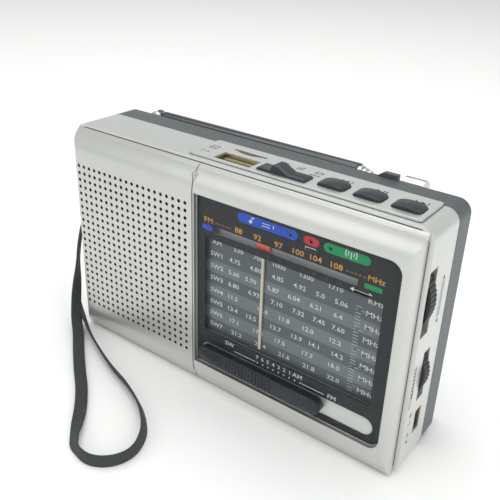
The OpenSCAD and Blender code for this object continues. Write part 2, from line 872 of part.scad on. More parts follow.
module tuning_wheel() {
    color([0.13, 0.14, 0.16]) difference() {
        union() {
            along_y(at(wheel_front), at(wheel_back)) thumbwheel_outline(tuning_x, tuning_z, tuning_d / 2, 64);
            rod_y(tuning_x, tuning_z, at(drum_front), at(wheel_front) + 0.1, drum_r - cord_d / 2 - 0.02);
            rod_y(tuning_x, tuning_z, at(drum_front) - 0.15, at(drum_front), drum_r + 0.4);
        }
        rod_y(tuning_x, tuning_z, at(4.6), at(wheel_back) + 1, tuning_shaft_r);
    }
}

module tuning_shaft() {
    color("gold") rod_y(tuning_x, tuning_z, at(4.6), at(12), tuning_shaft_r);
}

module tuning_capacitor() {
    half = capacitor_w / 2;
    color("whitesmoke") difference() {
        block(tuning_x - half, tuning_x + half, at(9.4), at(board_front) - 0.02,
            tuning_z - half, tuning_z + half);
        rod_y(tuning_x, tuning_z, at(9), at(12.3), tuning_shaft_r + shaft_gap);
    }
}

module volume_wheel() {
    color([0.13, 0.14, 0.16]) {
        along_y(at(volume_front), at(volume_back)) thumbwheel_outline(volume_x, volume_z, volume_d / 2, 50);
        rod_y(volume_x, volume_z, at(volume_back) - 0.1, at(15), volume_shaft_r);
    }
}

module volume_control() {
    color("saddlebrown") difference() {
        block(volume_x - 6, volume_x + 6, at(volume_back + 0.15), at(board_front) - 0.02,
            volume_z - 6, volume_z + 6);
        rod_y(volume_x, volume_z, at(13), at(15.2), volume_shaft_r + shaft_gap);
    }
}

module charge_socket() {
    skin = 0.3;
    x0 = right - 8.6;
    x1 = right - 0.2;
    y0 = at(charge_front) + 0.1;
    y1 = at(charge_back) - 0.1;
    color("darkkhaki") difference() {
        block(x0, x1, y0, y1, charge_z - 3.95, charge_z + 3.95);
        block(x0 + 1.4, x1 + 1, y0 + skin, y1 - skin, charge_z - 3.95 + skin, charge_z + 3.95 - skin);
    }
    color("black") block(x0 + 1.3, x1 - 1.2, (y0 + y1) / 2 - 0.4, (y0 + y1) / 2 + 0.4,
        charge_z - 2.6, charge_z + 2.6);
    color("silver") block(x0 + 1, x0 + 2, y1 - 0.05, at(board_front) - 0.02, charge_z - 3, charge_z + 3);
}

// ---- inside ----

module main_board() {
    color("darkgreen") along_y(at(board_front), at(board_back)) difference() {
        box2(left + 3.4, 3.4, right - 3.4, case_h - 3);
        each_boss() square(2 * boss_r + 1, center = true);
        translate([speaker_x, speaker_z]) circle(magnet_d / 2 + 2);
        each_frame_post() circle(frame_screw_r + slide_gap);
    }
}

module board_screws() {
    color("silver") for (p = frame_posts) {
        rod_y(p[0], p[1], at(board_back), at(board_back + 0.8), 1.6);
        rod_y(p[0], p[1], at(12), at(board_back) + 0.1, frame_screw_r);
    }
}

module frame_screws() {
    color("silver") for (p = bezel_posts) {
        rod_y(p[0], p[1], at(frame_back), at(frame_back + 0.8), 1.2);
        rod_y(p[0], p[1], at(3.2), at(frame_back) + 0.1, frame_screw_r);
    }
}

module speaker_frame() {
    r = speaker_d / 2;
    color("dimgray") translate([speaker_x, at(panel_t + 0.2), speaker_z]) rotate([-90, 0, 0])
        rotate_extrude() polygon([[r - 3, 0], [r, 0], [r, 1.2], [r - 2.4, 1.2], [magnet_d / 2 - 1, 9.4],
            [5, 9.4], [5, 8.6], [magnet_d / 2 - 1.4, 8.6], [r - 3, 1]]);
}

module speaker_cone() {
    r = speaker_d / 2;
    color("darkslategray") translate([speaker_x, at(panel_t + 0.5), speaker_z]) rotate([-90, 0, 0])
        rotate_extrude() polygon([[0, 3.6], [4.6, 5], [r - 4.6, 0.4], [r - 3.2, 0.4], [r - 4.4, 1],
            [5, 6], [4.8, 7.4], [4, 7.4], [4, 5.9], [0, 4.4]]);
}

module speaker_magnet() {
    color("silver") difference() {
        rod_y(speaker_x, speaker_z, at(panel_t + 9.6), at(panel_t + 15.6), magnet_d / 2);
        rod_y(speaker_x, speaker_z, at(panel_t + 9), at(panel_t + 12), 5);
    }
}

rod_z_mid = case_h - 13.1;
rod_y_mid = split_y + 3.5;
rod_l = left + 14;
rod_len = 58;

module ferrite_rod() {
    color("dimgray") rod_x(rod_y_mid, rod_z_mid, rod_l, rod_l + rod_len, 4);
}

module ferrite_coil() {
    color("peru") difference() {
        rod_x(rod_y_mid, rod_z_mid, rod_l + 8, rod_l + 30, 4.7);
        rod_x(rod_y_mid, rod_z_mid, rod_l, rod_l + rod_len, 4.03);
    }
}

module rod_clips() {
    color("ivory") for (x = [rod_l + 3, rod_l + 37]) difference() {
        union() {
            block(x, x + 3, at(board_back) + 0.02, rod_y_mid, rod_z_mid - 5.4, rod_z_mid + 5.4);
            rod_x(rod_y_mid, rod_z_mid, x, x + 3, 5.4);
        }
        rod_x(rod_y_mid, rod_z_mid, x - 1, x + 4, 4.03);
        block(x - 1, x + 4, at(board_back) - 3, at(board_back) + 0.02, rod_z_mid - 6, rod_z_mid + 6);
    }
}

module battery_pack() {
    color("royalblue") along_y(pack_back - pack_t, pack_back)
        round2(pack_x - pack_w / 2, pack_z - pack_h / 2, pack_x + pack_w / 2, pack_z + pack_h / 2, 2);
}

module battery_contacts() {
    x0 = pack_x - pack_w / 2 - bay_gap;
    color("gold") for (z = [-5, 0, 5])
        block(x0 + 0.02, x0 + bay_gap - 0.02, pack_back - pack_t, pack_back - 1,
            pack_z + z - 1.2, pack_z + z + 1.2);
}

// ---- antenna ----

module antenna_swivel() {
    color("silver") difference() {
        union() {
            rod_z(pivot_x, whip_y, ledge_z - 4.4, ledge_z + 1.4, post_shaft_r);
            rod_z(pivot_x, whip_y, ledge_z + 0.1, whip_z - 1, 2.4);
            intersection() {
                rod_y(pivot_x, whip_z, whip_y - pivot_r, whip_y + pivot_r, pivot_r);
                translate([pivot_x, whip_y, whip_z]) sphere(pivot_r + 0.4);
            }
        }
        block(pivot_x - 4, pivot_x + 4, whip_y - blade_t / 2 - 0.06, whip_y + blade_t / 2 + 0.06,
            whip_z - 2.8, whip_z + 4);
        rod_y(pivot_x, whip_z, whip_y - 4, whip_y + 4, 0.8);
        rod_z(pivot_x, whip_y, ledge_z - 6, ledge_z - 1.6, 0.75);
    }
}

module antenna_screw() {
    color("silver") {
        rod_z(pivot_x, whip_y, ledge_z - 6.3, ledge_z - 5.05, screw_head_r);
        rod_z(pivot_x, whip_y, ledge_z - 5.2, ledge_z - 1.8, 0.75);
    }
}

module antenna_pin() {
    color("silver") rod_y(pivot_x, whip_z, whip_y - 3, whip_y + 3, 0.8);
}

module antenna_root() {
    x0 = pivot_x + root_start;
    color([0.15, 0.16, 0.17]) difference() {
        union() {
            along_y(whip_y - blade_t / 2, whip_y + blade_t / 2) {
                translate([pivot_x, whip_z]) circle(2.5);
                box2(pivot_x, whip_z - 2.5, x0 + 1, whip_z + 2.5);
            }
            rod_x(whip_y, whip_z, x0, tube_x, whip_r);
        }
        rod_y(pivot_x, whip_z, whip_y - 3, whip_y + 3, 0.8 + shaft_gap);
    }
}

// A hollow section from x0 to x1, rolled in a little at its mouth
module tube(x0, x1, r, bore) {
    difference() {
        rod_x(whip_y, whip_z, x0, x1, r);
        rod_x(whip_y, whip_z, x0 + base_gap, x1 + 1, bore);
    }
}

module section(i) {
    tube(tube_x + base_gap * (i + 1), tube_x + tube_len + section_out * i, section_r[i],
        section_r[i + 1] + section_bore_gap);
}

module antenna_tube() {
    color([0.2, 0.21, 0.22]) tube(tube_x, tube_x + tube_len, section_r[0], section_r[1] + section_bore_gap);
}

module antenna_section_2() { color("silver") section(1); }

module antenna_section_3() { color("silver") section(2); }

module antenna_section_4() { color("silver") section(3); }

module antenna_rod() {
    color("silver") rod_x(whip_y, whip_z, tube_x + base_gap * 5, rod_end + 0.5, section_r[4]);
}

module antenna_tip() {
    color("silver") difference() {
        rod_x(whip_y, whip_z, rod_end, rod_end + tip_len, whip_r);
        rod_x(whip_y, whip_z, rod_end - 1, rod_end + 0.5, section_r[4]);
    }
}

// ---- strap ----

module strap_anchor() {
    color("silver") {
        rod_y(strap_bar_x, strap_z, strap_y - bar_half - bar_r, strap_y + bar_half + bar_r, bar_r);
        for (y = [strap_y - bar_half, strap_y + bar_half])
            rod_x(y, strap_z, strap_bar_x, left + wall + 0.6, bar_r);
    }
}

module strap_tab() {
    color([0.1, 0.1, 0.11]) difference() {
        along_y(strap_y - 1.3, strap_y + 1.3) {
            box2(strap_bar_x - tab_t / 2, tab_low, strap_bar_x + tab_t / 2, strap_z);
            translate([strap_bar_x, strap_z]) circle(tab_t / 2);
        }
        rod_y(strap_bar_x, strap_z, strap_y - 5, strap_y + 5, bar_r + 0.1);
    }
}

// Catmull-Rom point between b and c, with a before and d after
function blend(a, b, c, d, t) = 0.5 * (2 * b + (c - a) * t + (2 * a - 5 * b + 4 * c - d) * t * t
    + (3 * b - a - 3 * c + d) * t * t * t);

function smooth(p, n) = [for (i = [0:len(p) - 2], k = [0:n - 1])
    blend(p[max(i - 1, 0)], p[i], p[i + 1], p[min(i + 2, len(p) - 1)], k / n), p[len(p) - 1]];

function unit(v) = v / norm(v);

// Direction of the path at each of its points; both ends hang straight down from the tab
function headings(p) = [for (i = [0:len(p) - 1]) i == 0 ? [0, 0, -1] : i == len(p) - 1 ? [0, 0, 1]
    : unit(p[i + 1] - p[i - 1])];

// A side vector carried along the path without twist
function carry(h, i, s) = i == len(h) - 1 ? [s]
    : concat([s], carry(h, i + 1, unit(s - (s * h[i + 1]) * h[i + 1])));

module sweep(p, r, sides) {
    h = headings(p);
    s = carry(h, 0, [1, 0, 0]);
    n = len(p);
    points = [for (i = [0:n - 1], k = [0:sides - 1])
        p[i] + r * (cos(360 * k / sides) * s[i] + sin(360 * k / sides) * cross(h[i], s[i]))];
    faces = concat(
        [[for (k = [0:sides - 1]) k]],
        [for (i = [0:n - 2], k = [0:sides - 1])
            [i * sides + k, (i + 1) * sides + k, (i + 1) * sides + (k + 1) % sides, i * sides + (k + 1) % sides]],
        [[for (k = [sides - 1:-1:0]) (n - 1) * sides + k]]);
    polyhedron(points, faces);
}

module wrist_strap() {
    color([0.1, 0.1, 0.11]) translate([left - route_left, 0, 0])
        sweep(smooth(strap_route, strap_steps), strap_d / 2, strap_sides);
}

front_case();
speaker_grille();
dial_bezel();
rear_case();
back_cover();
battery_door();
top_panel();
antenna_rest();
case_screws();
dial_window();
dial_scale();
dial_frame();
dial_pointer();
pointer_tab();
dial_cord();
frame_screws();
indicator_strip();
indicator_leds();
slider_track();
band_knob();
band_switch();
usb_socket();
card_socket();
mode_knob();
mode_switch();
back_button();
play_button();
forward_button();
button_switches();
player_board();
tuning_wheel();
tuning_shaft();
tuning_capacitor();
volume_wheel();
volume_control();
charge_socket();
main_board();
board_screws();
speaker_frame();
speaker_cone();
speaker_magnet();
ferrite_rod();
ferrite_coil();
rod_clips();
battery_pack();
battery_contacts();
antenna_swivel();
antenna_screw();
antenna_pin();
antenna_root();
antenna_tube();
antenna_section_2();
antenna_section_3();
antenna_section_4();
antenna_rod();
antenna_tip();
strap_anchor();
strap_tab();
wrist_strap();
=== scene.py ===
import bpy, bmesh, json, math
from mathutils import Matrix, Vector
from mathutils.bvhtree import BVHTree


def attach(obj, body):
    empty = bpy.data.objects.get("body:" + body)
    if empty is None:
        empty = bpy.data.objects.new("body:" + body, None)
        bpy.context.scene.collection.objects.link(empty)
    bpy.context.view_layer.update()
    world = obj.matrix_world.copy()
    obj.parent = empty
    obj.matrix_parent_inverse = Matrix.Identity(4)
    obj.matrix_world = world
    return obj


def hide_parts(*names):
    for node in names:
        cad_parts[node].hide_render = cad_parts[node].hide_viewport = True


# Pocket shortwave receiver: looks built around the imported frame.
# Sizes are in millimetres and mm turns them to metres, except in the camera, the room and the finishes.
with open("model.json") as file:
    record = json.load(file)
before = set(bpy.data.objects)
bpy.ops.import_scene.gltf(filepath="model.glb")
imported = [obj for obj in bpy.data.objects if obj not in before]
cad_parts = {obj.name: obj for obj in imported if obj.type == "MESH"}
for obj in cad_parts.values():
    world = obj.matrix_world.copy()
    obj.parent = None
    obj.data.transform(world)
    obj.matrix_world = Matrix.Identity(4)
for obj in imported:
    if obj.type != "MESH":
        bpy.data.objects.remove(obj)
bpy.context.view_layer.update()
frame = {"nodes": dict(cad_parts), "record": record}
nodes = frame["nodes"]
bodies = frame["record"]["behaviour"]["bodies"]
bodyOf = {node: body for body, members in bodies.items() for node in members}


def mm(*values):
    scaled = tuple(v * 0.001 for v in values)
    return scaled if len(scaled) > 1 else scaled[0]


# camera, room and light

cameraLook = {"place": (0.11607, -0.15692, 0.14964), "right": (0.80208, 0.59624, 0.03419),
              "forward": (-0.52455, 0.73071, -0.43684), "lens": 49.27, "shift": (-0.0106, -0.0391)}


def makeCamera(look):
    data = bpy.data.cameras.new("camera")
    data.lens, data.sensor_width = look["lens"], 36
    data.shift_x, data.shift_y = look["shift"]
    data.clip_start, data.clip_end = 0.01, 30
    right, forward = Vector(look["right"]).normalized(), Vector(look["forward"]).normalized()
    up = right.cross(forward).normalized()
    camera = bpy.data.objects.new("camera", data)
    turned = Matrix((right, up, -forward)).transposed().to_4x4()
    camera.matrix_world = Matrix.Translation(look["place"]) @ turned
    bpy.context.scene.collection.objects.link(camera)
    bpy.context.scene.camera = camera


makeCamera(cameraLook)
print("camera ready")

roomLook = {"floorHalf": 4, "floorColour": (0.93, 0.93, 0.92), "floorRough": 0.7,
            "worldColour": (0.96, 0.98, 0.97), "worldStrength": 0.66,
            "lamps": [("overhead", (-0.15, 0.1, 0.9), (0, 0, 0), 0.9, 4.6),
                      ("frontSoft", (-0.35, -0.85, 0.45), (0, 0, 0.03), 0.6, 1.5),
                      ("rightSoft", (0.9, -0.1, 0.45), (0, 0, 0.04), 0.7, 3.6)]}


def makeRoom(look):
    scene = bpy.context.scene
    scene.view_settings.view_transform = "Standard"
    world = bpy.data.worlds.new("studio")
    world.use_nodes = True
    background = world.node_tree.nodes["Background"]
    background.inputs["Color"].default_value = (*look["worldColour"], 1)
    background.inputs["Strength"].default_value = look["worldStrength"]
    scene.world = world
    for name, place, target, size, power in look["lamps"]:
        lamp = bpy.data.lights.new(name, "AREA")
        lamp.size, lamp.energy = size, power
        holder = bpy.data.objects.new(name, lamp)
        holder.location = place
        holder.rotation_mode = "QUATERNION"
        holder.rotation_quaternion = (Vector(target) - Vector(place)).to_track_quat("-Z", "Y")
        scene.collection.objects.link(holder)
    mesh = bpy.data.meshes.new("floor")
    half = look["floorHalf"]
    corners = [(-half, -half, 0), (half, -half, 0), (half, half, 0), (-half, half, 0)]
    mesh.from_pydata(corners, [], [(0, 1, 2, 3)])
    floor = bpy.data.objects.new("floor", mesh)
    scene.collection.objects.link(floor)
    paper = bpy.data.materials.new("floorPaper")
    paper.use_nodes = True
    shader = paper.node_tree.nodes["Principled BSDF"]
    shader.inputs["Base Color"].default_value = (*look["floorColour"], 1)
    shader.inputs["Roughness"].default_value = look["floorRough"]
    mesh.materials.append(paper)


makeRoom(roomLook)


# shared shader groups

def newGroup(name, inputs, outputs):
    tree = bpy.data.node_groups.new(name, "ShaderNodeTree")
    for label, kind, value in inputs:
        socket = tree.interface.new_socket(label, in_out="INPUT", socket_type=kind)
        if value is not None:
            socket.default_value = value
    for label, kind in outputs:
        tree.interface.new_socket(label, in_out="OUTPUT", socket_type=kind)
    return tree, tree.nodes.new("NodeGroupInput"), tree.nodes.new("NodeGroupOutput")


def makeGrainGroup():  # fine speckle, slow cloudy drift and sparse dust, all from one set of coordinates
    tree, inside, outside = newGroup("surfaceGrain", [("Vector", "NodeSocketVector", None),
                                     ("Scale", "NodeSocketFloat", 900.0), ("Dust", "NodeSocketFloat", 0.3)],
                                     [("Fine", "NodeSocketFloat"), ("Cloud", "NodeSocketFloat"),
                                      ("Specks", "NodeSocketFloat")])
    fine, cloud, dust = (tree.nodes.new("ShaderNodeTexNoise") for _ in range(3))
    fine.inputs["Detail"].default_value = 3
    cloud.inputs["Scale"].default_value, cloud.inputs["Detail"].default_value = 38, 3
    dust.inputs["Scale"].default_value, dust.inputs["Detail"].default_value = 420, 1
    for noise in (fine, cloud, dust):
        tree.links.new(inside.outputs["Vector"], noise.inputs["Vector"])
    tree.links.new(inside.outputs["Scale"], fine.inputs["Scale"])
    ramp = tree.nodes.new("ShaderNodeMapRange")
    ramp.inputs["From Min"].default_value, ramp.inputs["From Max"].default_value = 0.72, 0.82
    tree.links.new(dust.outputs["Fac"], ramp.inputs["Value"])
    amount = tree.nodes.new("ShaderNodeMath")
    amount.operation = "MULTIPLY"
    tree.links.new(ramp.outputs["Result"], amount.inputs[0])
    tree.links.new(inside.outputs["Dust"], amount.inputs[1])
    tree.links.new(fine.outputs["Fac"], outside.inputs["Fine"])
    tree.links.new(cloud.outputs["Fac"], outside.inputs["Cloud"])
    tree.links.new(amount.outputs[0], outside.inputs["Specks"])
    return tree


def makeEdgeGroup():  # turns the gap between the true and the rounded normal into a broken rub mask
    tree, inside, outside = newGroup("edgeRub", [("Rounded", "NodeSocketVector", None),
                                                 ("Vector", "NodeSocketVector", None),
                                                 ("Amount", "NodeSocketFloat", 0.5)],
                                     [("Mask", "NodeSocketFloat")])
    geometry = tree.nodes.new("ShaderNodeNewGeometry")
    dot = tree.nodes.new("ShaderNodeVectorMath")
    dot.operation = "DOT_PRODUCT"
    tree.links.new(geometry.outputs["True Normal"], dot.inputs[0])
    tree.links.new(inside.outputs["Rounded"], dot.inputs[1])
    spread = tree.nodes.new("ShaderNodeMapRange")
    spread.inputs["From Min"].default_value, spread.inputs["From Max"].default_value = 0.995, 0.86
    tree.links.new(dot.outputs["Value"], spread.inputs["Value"])
    noise = tree.nodes.new("ShaderNodeTexNoise")
    noise.inputs["Scale"].default_value = 260
    tree.links.new(inside.outputs["Vector"], noise.inputs["Vector"])
    broken, scaled = tree.nodes.new("ShaderNodeMath"), tree.nodes.new("ShaderNodeMath")
    broken.operation = scaled.operation = "MULTIPLY"
    tree.links.new(spread.outputs["Result"], broken.inputs[0])
    tree.links.new(noise.outputs["Fac"], broken.inputs[1])
    tree.links.new(broken.outputs[0], scaled.inputs[0])
    tree.links.new(inside.outputs["Amount"], scaled.inputs[1])
    tree.links.new(scaled.outputs[0], outside.inputs["Mask"])
    return tree


def makeWeaveGroup():  # plain weave over a strip's own coordinates: along and across in millimetres
    tree, inside, outside = newGroup("webWeave", [("Strip", "NodeSocketVector", None),
                                     ("Pitch", "NodeSocketFloat", 0.55)],
                                     [("Height", "NodeSocketFloat"), ("Shade", "NodeSocketFloat")])
    split = tree.nodes.new("ShaderNodeSeparateXYZ")
    tree.links.new(inside.outputs["Strip"], split.inputs[0])
    waves = []
    for axis in ("X", "Y"):
        over = tree.nodes.new("ShaderNodeMath")
        over.operation = "DIVIDE"
        tree.links.new(split.outputs[axis], over.inputs[0])
        tree.links.new(inside.outputs["Pitch"], over.inputs[1])
        turn = tree.nodes.new("ShaderNodeMath")
        turn.operation = "MULTIPLY"
        turn.inputs[1].default_value = 2 * math.pi
        tree.links.new(over.outputs[0], turn.inputs[0])
        wave = tree.nodes.new("ShaderNodeMath")
        wave.operation = "SINE"
        tree.links.new(turn.outputs[0], wave.inputs[0])
        waves.append(wave)
    cross = tree.nodes.new("ShaderNodeMath")
    cross.operation = "MULTIPLY"
    tree.links.new(waves[0].outputs[0], cross.inputs[0])
    tree.links.new(waves[1].outputs[0], cross.inputs[1])
    shade = tree.nodes.new("ShaderNodeMapRange")
    shade.inputs["From Min"].default_value = -1
    tree.links.new(cross.outputs[0], shade.inputs["Value"])
    tree.links.new(cross.outputs[0], outside.inputs["Height"])
    tree.links.new(shade.outputs["Result"], outside.inputs["Shade"])
    return tree


grainGroup, edgeGroup, weaveGroup = makeGrainGroup(), makeEdgeGroup(), makeWeaveGroup()
finishes = {}
paintBase = {"dust": (0.6, 0.6, 0.58), "deep": 0.82, "rub": (1.5, 0.05), "thread": (3.2, 0.012),
             "coatRough": 0.06, "relief": 0.2, "plasticIor": 1.5}


def placeGroup(tree, group):
    node = tree.nodes.new("ShaderNodeGroup")
    node.node_tree = group
    return node


def colourMix(tree, factor, a, b):
    mix = tree.nodes.new("ShaderNodeMix")
    mix.data_type = "RGBA"
    for index, value in ((0, factor), (6, a), (7, b)):
        if isinstance(value, bpy.types.NodeSocket):
            tree.links.new(value, mix.inputs[index])
        else:
            mix.inputs[index].default_value = (*value, 1) if isinstance(value, tuple) else value
    return mix.outputs[2]


def spreadValue(tree, value, low, high, fromLow=0.25, fromHigh=0.75):
    ramp = tree.nodes.new("ShaderNodeMapRange")
    for name, number in (("From Min", fromLow), ("From Max", fromHigh), ("To Min", low), ("To Max", high)):
        ramp.inputs[name].default_value = number
    tree.links.new(value, ramp.inputs["Value"])
    return ramp.outputs["Result"]


# edge is the rounding in millimetres, grain the noise cells in a metre; alpha is for clear plastic
def makeFinish(name, colour, deep=None, rough=(0.35, 0.45), metal=0.0, coat=0.0, grain=900.0, bump=0.05,
               edge=0.25, rub=0.3, rubColour=None, stretch=None, weave=None, bands=None, alpha=None,
               dust=0.2, shine=0.5):
    material = bpy.data.materials.new(name)
    material.use_nodes = True
    tree = material.node_tree
    shader = tree.nodes["Principled BSDF"]
    coords = tree.nodes.new("ShaderNodeTexCoord")
    place = coords.outputs["Object"]
    if stretch:
        mapping = tree.nodes.new("ShaderNodeMapping")
        mapping.inputs["Scale"].default_value = stretch
        tree.links.new(place, mapping.inputs["Vector"])
        place = mapping.outputs["Vector"]
    speckle = placeGroup(tree, grainGroup)
    speckle.inputs["Scale"].default_value, speckle.inputs["Dust"].default_value = grain, dust
    tree.links.new(place, speckle.inputs["Vector"])
    deep = deep or tuple(c * paintBase["deep"] for c in colour)
    base = colourMix(tree, spreadValue(tree, speckle.outputs["Cloud"], 0, 1), colour, deep)
    height = speckle.outputs["Fine"]
    if bands:  # soft stripes along one axis: axis, pitch, second colour, sharpness
        axis, pitch, second, sharp = bands
        split, over, wave = (tree.nodes.new(kind) for kind in
                             ("ShaderNodeSeparateXYZ", "ShaderNodeMath", "ShaderNodeMath"))
        tree.links.new(coords.outputs["Object"], split.inputs[0])
        over.operation, over.inputs[1].default_value = "MULTIPLY", 2 * math.pi / pitch
        tree.links.new(split.outputs[axis], over.inputs[0])
        wave.operation = "SINE"
        tree.links.new(over.outputs[0], wave.inputs[0])
        stripe = spreadValue(tree, wave.outputs[0], 0, 1, -sharp, sharp)
        base = colourMix(tree, stripe, base, second)
        height = wave.outputs[0]
    if weave:
        cloth = placeGroup(tree, weaveGroup)
        cloth.inputs["Pitch"].default_value = weave
        tree.links.new(coords.outputs["UV"], cloth.inputs["Strip"])
        gain, lift = paintBase["thread"]
        base = colourMix(tree, cloth.outputs["Shade"], base, tuple(c * gain + lift for c in colour))
        height = cloth.outputs["Height"]
    rounded = tree.nodes.new("ShaderNodeBevel")
    rounded.samples = 4
    rounded.inputs["Radius"].default_value = mm(edge)
    worn = placeGroup(tree, edgeGroup)
    worn.inputs["Amount"].default_value = rub
    tree.links.new(rounded.outputs["Normal"], worn.inputs["Rounded"])
    tree.links.new(place, worn.inputs["Vector"])
    gain, lift = paintBase["rub"]
    paler = tuple(min(1, c * gain + lift) for c in colour)
    base = colourMix(tree, worn.outputs["Mask"], base, rubColour or paler)
    base = colourMix(tree, speckle.outputs["Specks"], base, paintBase["dust"])
    tree.links.new(base, shader.inputs["Base Color"])
    tree.links.new(spreadValue(tree, speckle.outputs["Fine"], rough[0], rough[1]), shader.inputs["Roughness"])
    relief = tree.nodes.new("ShaderNodeBump")
    relief.inputs["Strength"].default_value = bump
    relief.inputs["Distance"].default_value = mm(paintBase["relief"])
    tree.links.new(height, relief.inputs["Height"])
    tree.links.new(rounded.outputs["Normal"], relief.inputs["Normal"])
    tree.links.new(relief.outputs["Normal"], shader.inputs["Normal"])
    shader.inputs["Metallic"].default_value = metal
    if coat:
        shader.inputs["Coat Weight"].default_value = coat
        shader.inputs["Coat Roughness"].default_value = paintBase["coatRough"]
    shader.inputs["Specular IOR Level"].default_value = shine
    if alpha is not None:  # clear plastic: nearly all light passes, more is mirrored at a slant
        fresnel = tree.nodes.new("ShaderNodeFresnel")
        fresnel.inputs["IOR"].default_value = paintBase["plasticIor"]
        sides, front = tree.nodes.new("ShaderNodeNewGeometry"), tree.nodes.new("ShaderNodeMath")
        front.operation, front.inputs[1].default_value = "LESS_THAN", 0.5
        seenAlpha = tree.nodes.new("ShaderNodeMath")
        seenAlpha.operation = "MULTIPLY"
        tree.links.new(sides.outputs["Backfacing"], front.inputs[0])
        tree.links.new(front.outputs[0], seenAlpha.inputs[0])
        tree.links.new(spreadValue(tree, fresnel.outputs["Fac"], alpha, 1.0, 0.03, 1.0), seenAlpha.inputs[1])
        tree.links.new(seenAlpha.outputs[0], shader.inputs["Alpha"])
    finishes[name] = material
    return material


silver = dict(rough=(0.28, 0.40), metal=0.68, grain=2600.0, bump=0.09, edge=0.3, rub=0.25, dust=0.05)
makeFinish("silver_case", (0.64, 0.65, 0.63), (0.60, 0.61, 0.59), **silver)
makeFinish("silver_front", (0.605, 0.61, 0.585), (0.56, 0.565, 0.54), **silver)
makeFinish("slate_shell", (0.075, 0.09, 0.094), rough=(0.36, 0.5), grain=3200.0, bump=0.22, edge=0.4, rub=0.5,
           dust=0.03)
makeFinish("smoked_window", (0.02, 0.022, 0.025), rough=(0.03, 0.06), bump=0.004, edge=0.12, rub=0,
           alpha=0.05, dust=0.0, shine=0.26)
makeFinish("scale_print", (0.115, 0.135, 0.15), (0.10, 0.12, 0.135), rough=(0.5, 0.6), grain=1800.0,
           bump=0.03, edge=0.1)
makeFinish("ivory_plastic", (0.70, 0.66, 0.52), rough=(0.4, 0.5), grain=1500.0)
makeFinish("red_tab", (0.86, 0.20, 0.15), rough=(0.35, 0.45), grain=1800.0, edge=0.1)
makeFinish("cord_thread", (0.55, 0.46, 0.28), rough=(0.8, 0.9), grain=3000.0, bump=0.5,
           bands=("X", 0.0006, (0.3, 0.24, 0.14), 0.8))
makeFinish("board_green", (0.02, 0.14, 0.045), (0.03, 0.2, 0.06), rough=(0.3, 0.4), coat=0.4, grain=700.0,
           bands=("Z", 0.0025, (0.012, 0.09, 0.03), 0.15))
makeFinish("led_lens", (0.85, 0.83, 0.7), rough=(0.15, 0.25), coat=0.5, grain=1400.0, edge=0.1)
makeFinish("black_gloss", (0.020, 0.025, 0.030), (0.015, 0.019, 0.023), rough=(0.24, 0.36), grain=2600.0,
           bump=0.06, edge=0.35, rub=0.5, rubColour=(0.10, 0.11, 0.12), shine=0.36)
makeFinish("wheel_black", (0.014, 0.016, 0.018), rough=(0.38, 0.5), grain=2600.0, bump=0.1, edge=0.12,
           rub=0.5)
makeFinish("switch_steel", (0.55, 0.55, 0.53), rough=(0.3, 0.45), metal=1.0, grain=600.0, stretch=(1, 14, 14))
makeFinish("socket_gold", (0.50, 0.46, 0.30), (0.36, 0.33, 0.22), rough=(0.25, 0.4), metal=0.9, grain=900.0,
           edge=0.12)
makeFinish("case_screw_black", (0.03, 0.03, 0.03), rough=(0.35, 0.5), metal=0.8, grain=2000.0, edge=0.15)
makeFinish("tuner_plastic", (0.72, 0.72, 0.66), rough=(0.2, 0.35), coat=0.3, grain=1200.0)
makeFinish("pot_brown", (0.22, 0.11, 0.05), rough=(0.4, 0.55), grain=1600.0, bump=0.1)
makeFinish("basket_steel", (0.05, 0.05, 0.055), rough=(0.35, 0.5), metal=0.3, grain=1400.0)
makeFinish("cone_paper", (0.022, 0.022, 0.025), rough=(0.8, 0.95), grain=2200.0, bump=0.5, edge=0.2)
makeFinish("ferrite", (0.045, 0.04, 0.04), rough=(0.4, 0.6), grain=2600.0, bump=0.3)
makeFinish("coil_wire", (0.45, 0.2, 0.06), rough=(0.5, 0.6), grain=1500.0, bump=0.9,
           bands=("X", 0.0005, (0.2, 0.08, 0.02), 0.9))
makeFinish("pack_wrap", (0.05, 0.15, 0.45), (0.04, 0.12, 0.38), rough=(0.25, 0.35), coat=0.4, grain=1200.0)
# shared settings of the two painted shade finishes below: the joint lines and the grille's hole walls
shadow = dict(rough=(0.6, 0.8), grain=2200.0, edge=0.02, rub=0, dust=0)
makeFinish("joint_painted_shade", (0.10, 0.105, 0.10), **shadow)
makeFinish("grille_shadow", (0.03, 0.032, 0.032), **shadow)
makeFinish("tube_gunmetal", (0.06, 0.066, 0.072), (0.045, 0.05, 0.055), rough=(0.14, 0.22), metal=0.9,
           coat=0.4, grain=500.0, stretch=(1, 12, 12), bump=0.02, edge=0.3, rub=0.5)
makeFinish("bright_chrome", (0.62, 0.61, 0.58), (0.50, 0.49, 0.46), rough=(0.08, 0.16), metal=1.0,
           grain=700.0, bump=0.01, edge=0.15, rub=0.1)
makeFinish("strap_web", (0.013, 0.016, 0.016), rough=(0.55, 0.7), grain=1400.0, bump=0.8, weave=1.05,
           edge=0.1, rub=0, dust=0.5)
makeFinish("window_mask", (0.020, 0.024, 0.028), (0.017, 0.021, 0.025), rough=(0.5, 0.6), grain=1800.0,
           bump=0.01, edge=0.05, rub=0, dust=0)
inks = {"print_white": (0.74, 0.76, 0.76), "print_black": (0.02, 0.022, 0.024),
        "print_orange": (0.78, 0.36, 0.07), "digit_dark": (0.035, 0.075, 0.11)}
for name, colour in inks.items():
    makeFinish(name, colour, rough=(0.5, 0.6), grain=2400.0, bump=0.02, edge=0.02, rub=0, dust=0)
gloss = {"print_blue": (0.010, 0.085, 0.60), "print_red": (0.60, 0.022, 0.045),
         "print_green": (0.002, 0.30, 0.095)}
for name, colour in gloss.items():
    makeFinish(name, colour, rough=(0.3, 0.4), grain=2400.0, bump=0.02, edge=0.02, rub=0, dust=0)
